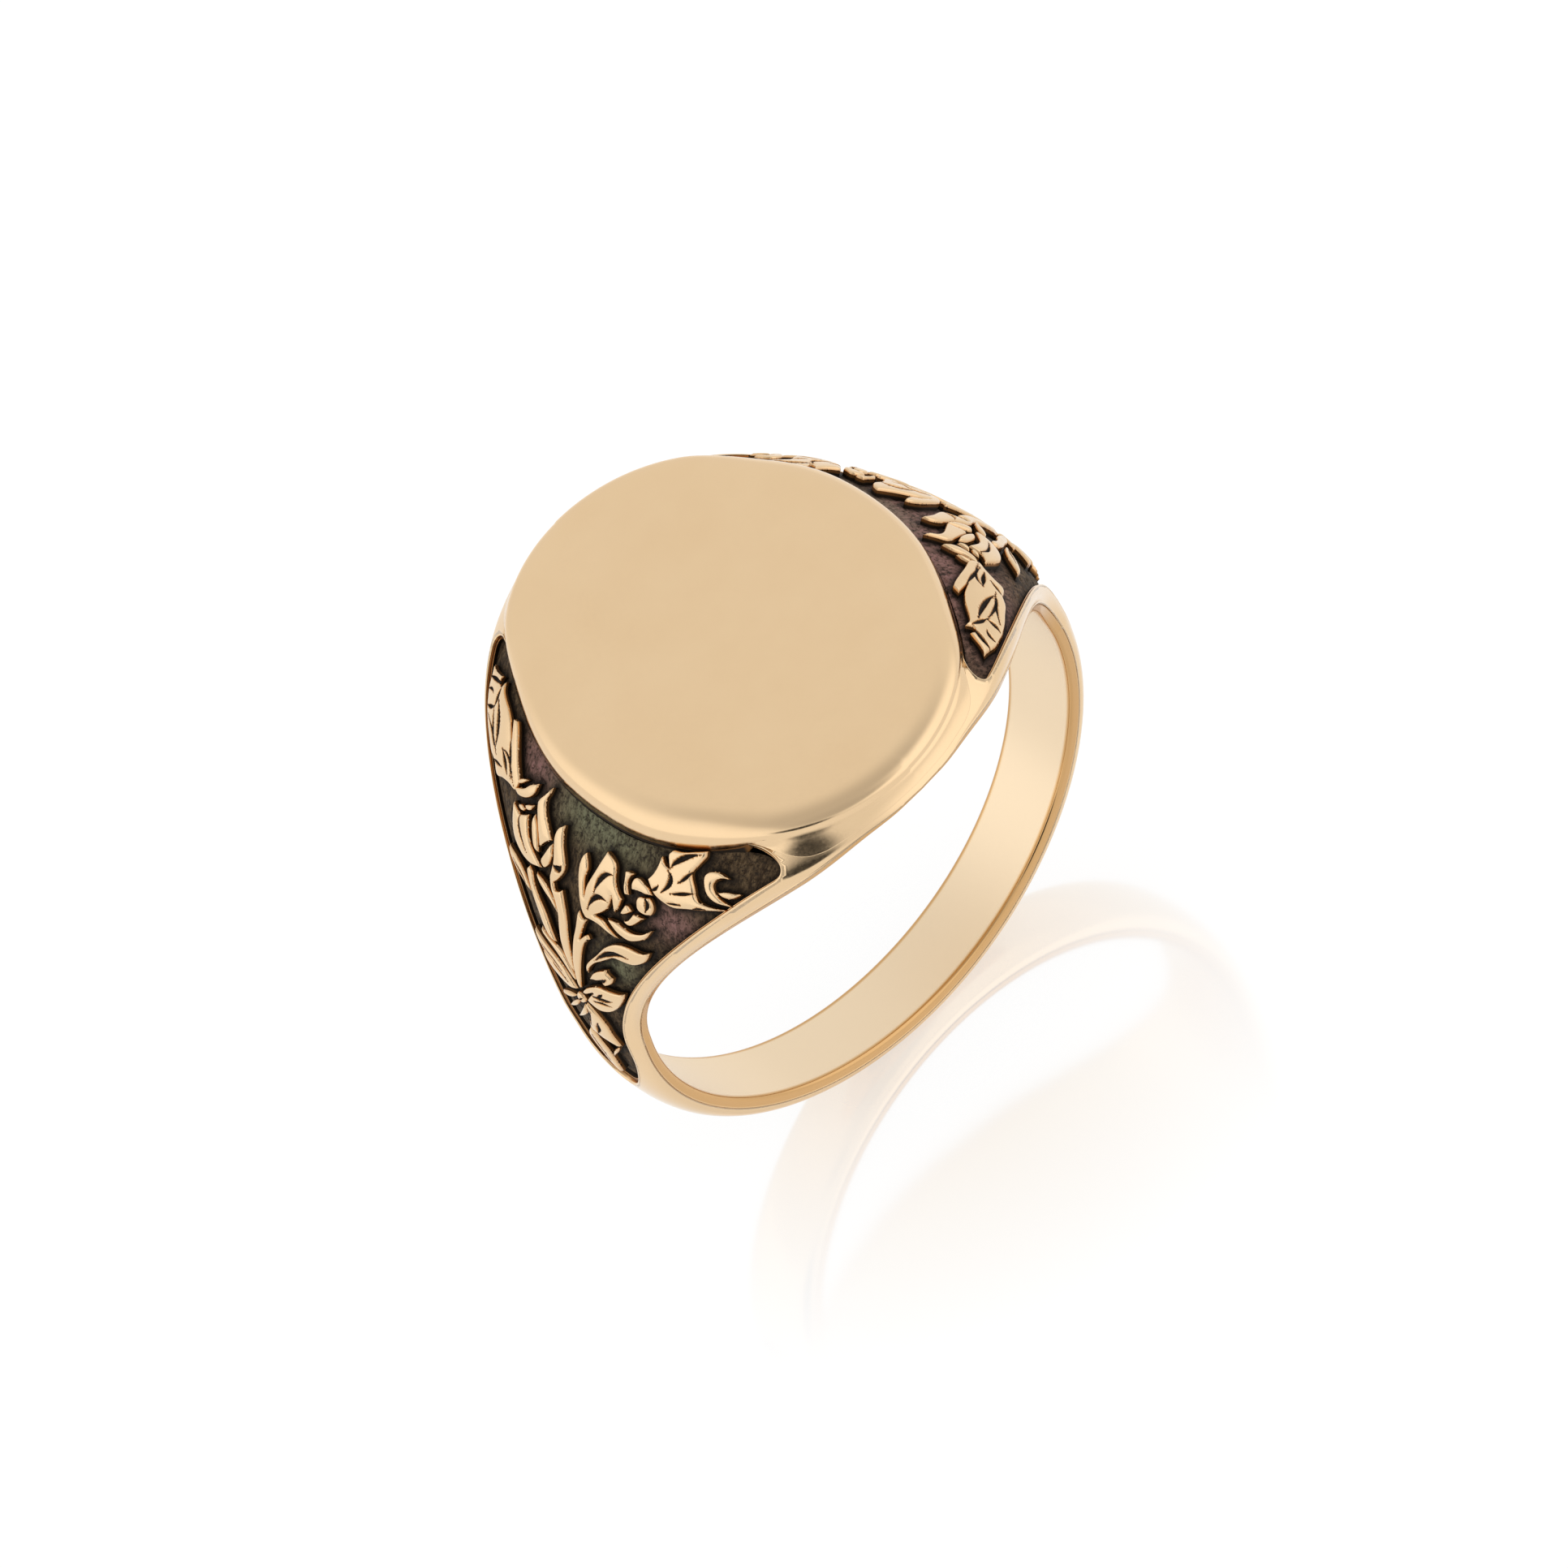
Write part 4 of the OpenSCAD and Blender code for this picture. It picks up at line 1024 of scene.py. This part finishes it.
def smooth_outline(points):
    """Closed curve through the points, smooth except at the sharp ones."""
    flat = flat_points(points)
    sharp = [len(p) > 2 for p in points]
    n = len(flat)
    curve = []
    for i in range(n):
        p, q = flat[i], flat[(i + 1) % n]
        chord = q - p
        leave = chord if sharp[i] else (q - flat[i - 1]) / 2
        arrive = chord if sharp[(i + 1) % n] else (flat[(i + 2) % n] - p) / 2
        steps = max(2, int(np.linalg.norm(chord) / OUTLINE_STEP))
        t = np.arange(steps)[:, None] / steps
        curve.append(
            (2 * t ** 3 - 3 * t ** 2 + 1) * p + (t ** 3 - 2 * t ** 2 + t) * leave
            + (3 * t ** 2 - 2 * t ** 3) * q + (t ** 3 - t ** 2) * arrive
        )
    return np.concatenate(curve)


def bent_line(first, middle, last):
    p, b, q = flat_points([first, middle, last])
    b = 2 * b - (p + q) / 2
    t = np.linspace(0, 1, LINE_STEPS)[:, None]
    return (1 - t) ** 2 * p + 2 * t * (1 - t) * b + t ** 2 * q


def half_width(line, width):
    """Steps from the middle line of a leaf or a cut to its side, pointed at both ends."""
    return width / 2 * sin(np.linspace(0, 180, len(line)))[:, None] * sideways(line)


def leaf_outline(first, middle, last, width):
    line = bent_line(first, middle, last)
    side = half_width(line, width)
    return np.concatenate([(line + side)[:-1], (line - side)[:0:-1]])


def spread_points(loop, cuts):
    """Points inside an outline: rows close to its edge, an even grid, and points along the cuts."""
    low, high = loop.min(0), loop.max(0)
    u, v = np.meshgrid(np.arange(low[0], high[0], PITCH), np.arange(low[1], high[1], PITCH))
    u[::2] += PITCH / 2
    spots = [pair(u.ravel(), v.ravel())]
    side = sideways(np.concatenate([loop[-1:], loop, loop[:1]]))[1:-1]
    for inset in EDGE_ROWS:
        for way in (-1, 1):
            row = loop + way * inset * side
            spots.append(row[distance(row, loop) > EDGE_ROW_SHARE * inset])
    for line, width in cuts:
        across = half_width(line, width)
        spots += [line + share * across for share in CUT_ROWS]
    spots = np.concatenate(spots)
    spots = spots[inside(spots, loop)]
    spots = spots[distance(spots, loop) > EDGE_CLEAR]
    kept = np.unique(np.rint(spots / POINT_CELL).astype(int), axis=0, return_index=True)[1]
    return spots[np.sort(kept)]


def relief_drop(flat, loop, cuts):
    """How far the top of a raised piece lies under the outer surface, and its share of patina."""
    gap = distance(flat, loop)
    roll = np.clip(1 - gap / RELIEF_EDGE, 0, 1)
    drop = RELIEF_EDGE * (1 - np.sqrt(1 - roll ** 2)) + RELIEF_CROWN * np.exp(-gap / CROWN_REACH)
    stain = EDGE_STAIN * roll ** STAIN_POWER
    for line, width in cuts:
        step = np.linalg.norm(flat[:, None] - line[None], axis=2)
        half = width / 2 * sin(180 * step.argmin(1) / (len(line) - 1)) + CUT_LEAST
        depth = np.clip(1 - step.min(1) / half, 0, 1)
        drop = np.maximum(drop, np.minimum(CUT_DEPTH, CUT_SLOPE * half * depth) + CUT_KEEP * drop)
        stain = np.maximum(stain, np.clip(CUT_STAIN * depth, 0, 1))
    return drop, stain


def lay_island(shape, loop, cuts, turned):
    """One raised island with its walls, which run down below the ground."""
    flat, faces = fill(loop, spread_points(loop, cuts))
    near_cuts = [c for c in cuts if distance(c[0], loop).min() < CUT_REACH or inside(c[0], loop).any()]
    drop, stain = relief_drop(flat, loop, near_cuts)
    flip = np.array([turned, turned, 1])
    places = flat / FLAT
    points = on_ring(places, drop) * flip
    corner = points[faces]
    facing = np.cross(corner[:, 1] - corner[:, 0], corner[:, 2] - corner[:, 0])
    upright = on_hoop(places[faces[:, 0], 0], 0.0, 1.0) * flip
    facing *= np.sign(np.sum(facing * upright, 1))[:, None]
    normals = np.zeros_like(points)
    for k in range(3):
        np.add.at(normals, faces[:, k], facing)
    shape.add(points, faces, unit(normals), patina=stain)

    top, _ = relief_drop(loop, loop, near_cuts)
    down = np.linspace(0, 1, len(WALL_STAINS))
    walls = np.array([on_ring(loop / FLAT, top + (RELIEF_H + RELIEF_SUNK - top) * k) * flip for k in down])
    area = np.sum(loop[:, 0] * np.roll(loop[:, 1], -1) - loop[:, 1] * np.roll(loop[:, 0], -1))
    shape.add_grid(walls, closed=True, side=np.sign(area), patina=np.repeat(WALL_STAINS, len(loop)))


def spray_loops(plan):
    loops = [smooth_outline(points) for points in plan["outlines"]]
    return loops + [leaf_outline(*leaf) for leaf in plan.get("leaves", [])]


def make_spray(side, turned):
    for name, plan in SPRAY.items():
        shape = Shape()
        cuts = [(bent_line(*cut[:3]), cut[3]) for cut in plan.get("cuts", [])]
        for loop in spray_loops(plan):
            lay_island(shape, loop, cuts, turned)
        shape.make_piece(f"{side}_raised_{name}", relief_gold, f"{side}_{name}")


# Camera, floor and light

CAMERA_AZ, CAMERA_EL, CAMERA_ROLL = -21.57, 51.38, -27.80
CAMERA_DISTANCE = 443.75
CAMERA_SHIFT = (-1.187, 1.135)
CAMERA_CLIP = (10, 10000)
PIXELS_PER_MM = 40.524
PHOTO_SIZE = 1932
SENSOR = 36.0


def make_camera():
    turns = ((CAMERA_AZ, "Z"), (90 - CAMERA_EL, "X"), (CAMERA_ROLL, "Z"))
    azimuth, tilt, roll = (Matrix.Rotation(math.radians(angle), 4, axis) for angle, axis in turns)
    back = Matrix.Translation(Vector((*CAMERA_SHIFT, CAMERA_DISTANCE)) * MM)
    data = bpy.data.cameras.new("camera")
    data.sensor_fit = "HORIZONTAL"
    data.sensor_width = SENSOR
    data.lens = PIXELS_PER_MM * CAMERA_DISTANCE / PHOTO_SIZE * SENSOR
    data.clip_start, data.clip_end = (v * MM for v in CAMERA_CLIP)
    camera = bpy.data.objects.new("camera", data)
    camera.matrix_world = azimuth @ tilt @ roll @ back
    bpy.context.scene.collection.objects.link(camera)
    bpy.context.scene.camera = camera


FLOOR_Z = -(BORE_R + SHANK_T)
FLOOR_HALF = 600
FLOOR_GREY, FLOOR_GLOW, GLOW_SHARE = (0.92, 0.92, 0.92, 1), 1.08, 0.8
MIRROR_SHARE, MIRROR_REACH, MIRROR_ROUGH = 0.4, (3, 14), 0.09
WHITE = (1, 1, 1, 1)


def floor_material():
    """White floor that keeps the ring's shadow, with a faint mirror image that fades away from the ring."""
    n = Nodes(bpy.data.materials.new("pale_floor"), "Material")
    path = n.add("LightPath").outputs
    in_gold = n.math("MAXIMUM", path["Is Glossy Ray"], path["Is Transmission Ray"])
    seen = n.math("MAXIMUM", path["Is Camera Ray"], in_gold)
    where = n.add("TexCoord").outputs["Object"]
    far = n.add("VectorMath", {0: where}, operation="LENGTH").outputs["Value"]
    share = n.ramp(far, MIRROR_REACH[0] * MM, MIRROR_REACH[1] * MM, MIRROR_SHARE, 0.0)
    matt = n.add("BsdfDiffuse", {"Color": FLOOR_GREY}).outputs[0]
    glow = n.add("Emission", {"Color": WHITE, "Strength": FLOOR_GLOW}).outputs[0]
    mirror = n.add("BsdfGlossy", {"Color": WHITE, "Roughness": MIRROR_ROUGH}).outputs[0]
    shiny = n.mix_shaders(share, n.mix_shaders(GLOW_SHARE, matt, glow), mirror)
    return n.surface(n.mix_shaders(seen, matt, shiny))


def make_floor():
    half = FLOOR_HALF * MM
    corners = [(-half, -half, 0), (half, -half, 0), (half, half, 0), (-half, half, 0)]
    mesh = bpy.data.meshes.new("floor")
    mesh.from_pydata(corners, [], [(0, 1, 2, 3)])
    mesh.materials.append(floor_material())
    floor = bpy.data.objects.new("floor", mesh)
    floor.location.z = FLOOR_Z * MM
    bpy.context.scene.collection.objects.link(floor)


# The studio is a white tent. Each zone has its azimuth from +Y towards +X, its elevation,
# the angles from its middle at which it is full and has faded out, and its brightness.
TENT = 0.965
ZONES = [
    (0, 90, 8, 36, 0.66),
    (-75, 8, 18, 60, 1.28),
    (140, 30, 20, 55, 1.35),
    (-152, 60, 10, 30, 0.6),
    (-131, 20, 9, 20, 0.05),
]


def make_world():
    world = bpy.data.worlds.new("studio")
    n = Nodes(world, "World")
    way = n.add("TexCoord").outputs["Generated"]
    level = TENT
    for azimuth, elevation, full, faded, bright in ZONES:
        middle = (sin(azimuth) * cos(elevation), cos(azimuth) * cos(elevation), sin(elevation))
        near = n.add("VectorMath", {0: way, 1: middle}, operation="DOT_PRODUCT").outputs["Value"]
        share = n.ramp(near, cos(faded), cos(full), interpolation_type="SMOOTHSTEP")
        level = n.mix_values(share, level, bright)
    sky = n.add("Background", {"Color": WHITE, "Strength": level}).outputs[0]
    n.surface(sky)
    bpy.context.scene.world = world


make_camera()
make_floor()
make_world()
make_band()
make_table()
make_ground("left", 1)
make_ground("right", -1)
make_spray("left", 1)
make_spray("right", -1)

bpy.context.scene.view_settings.view_transform = "Standard"
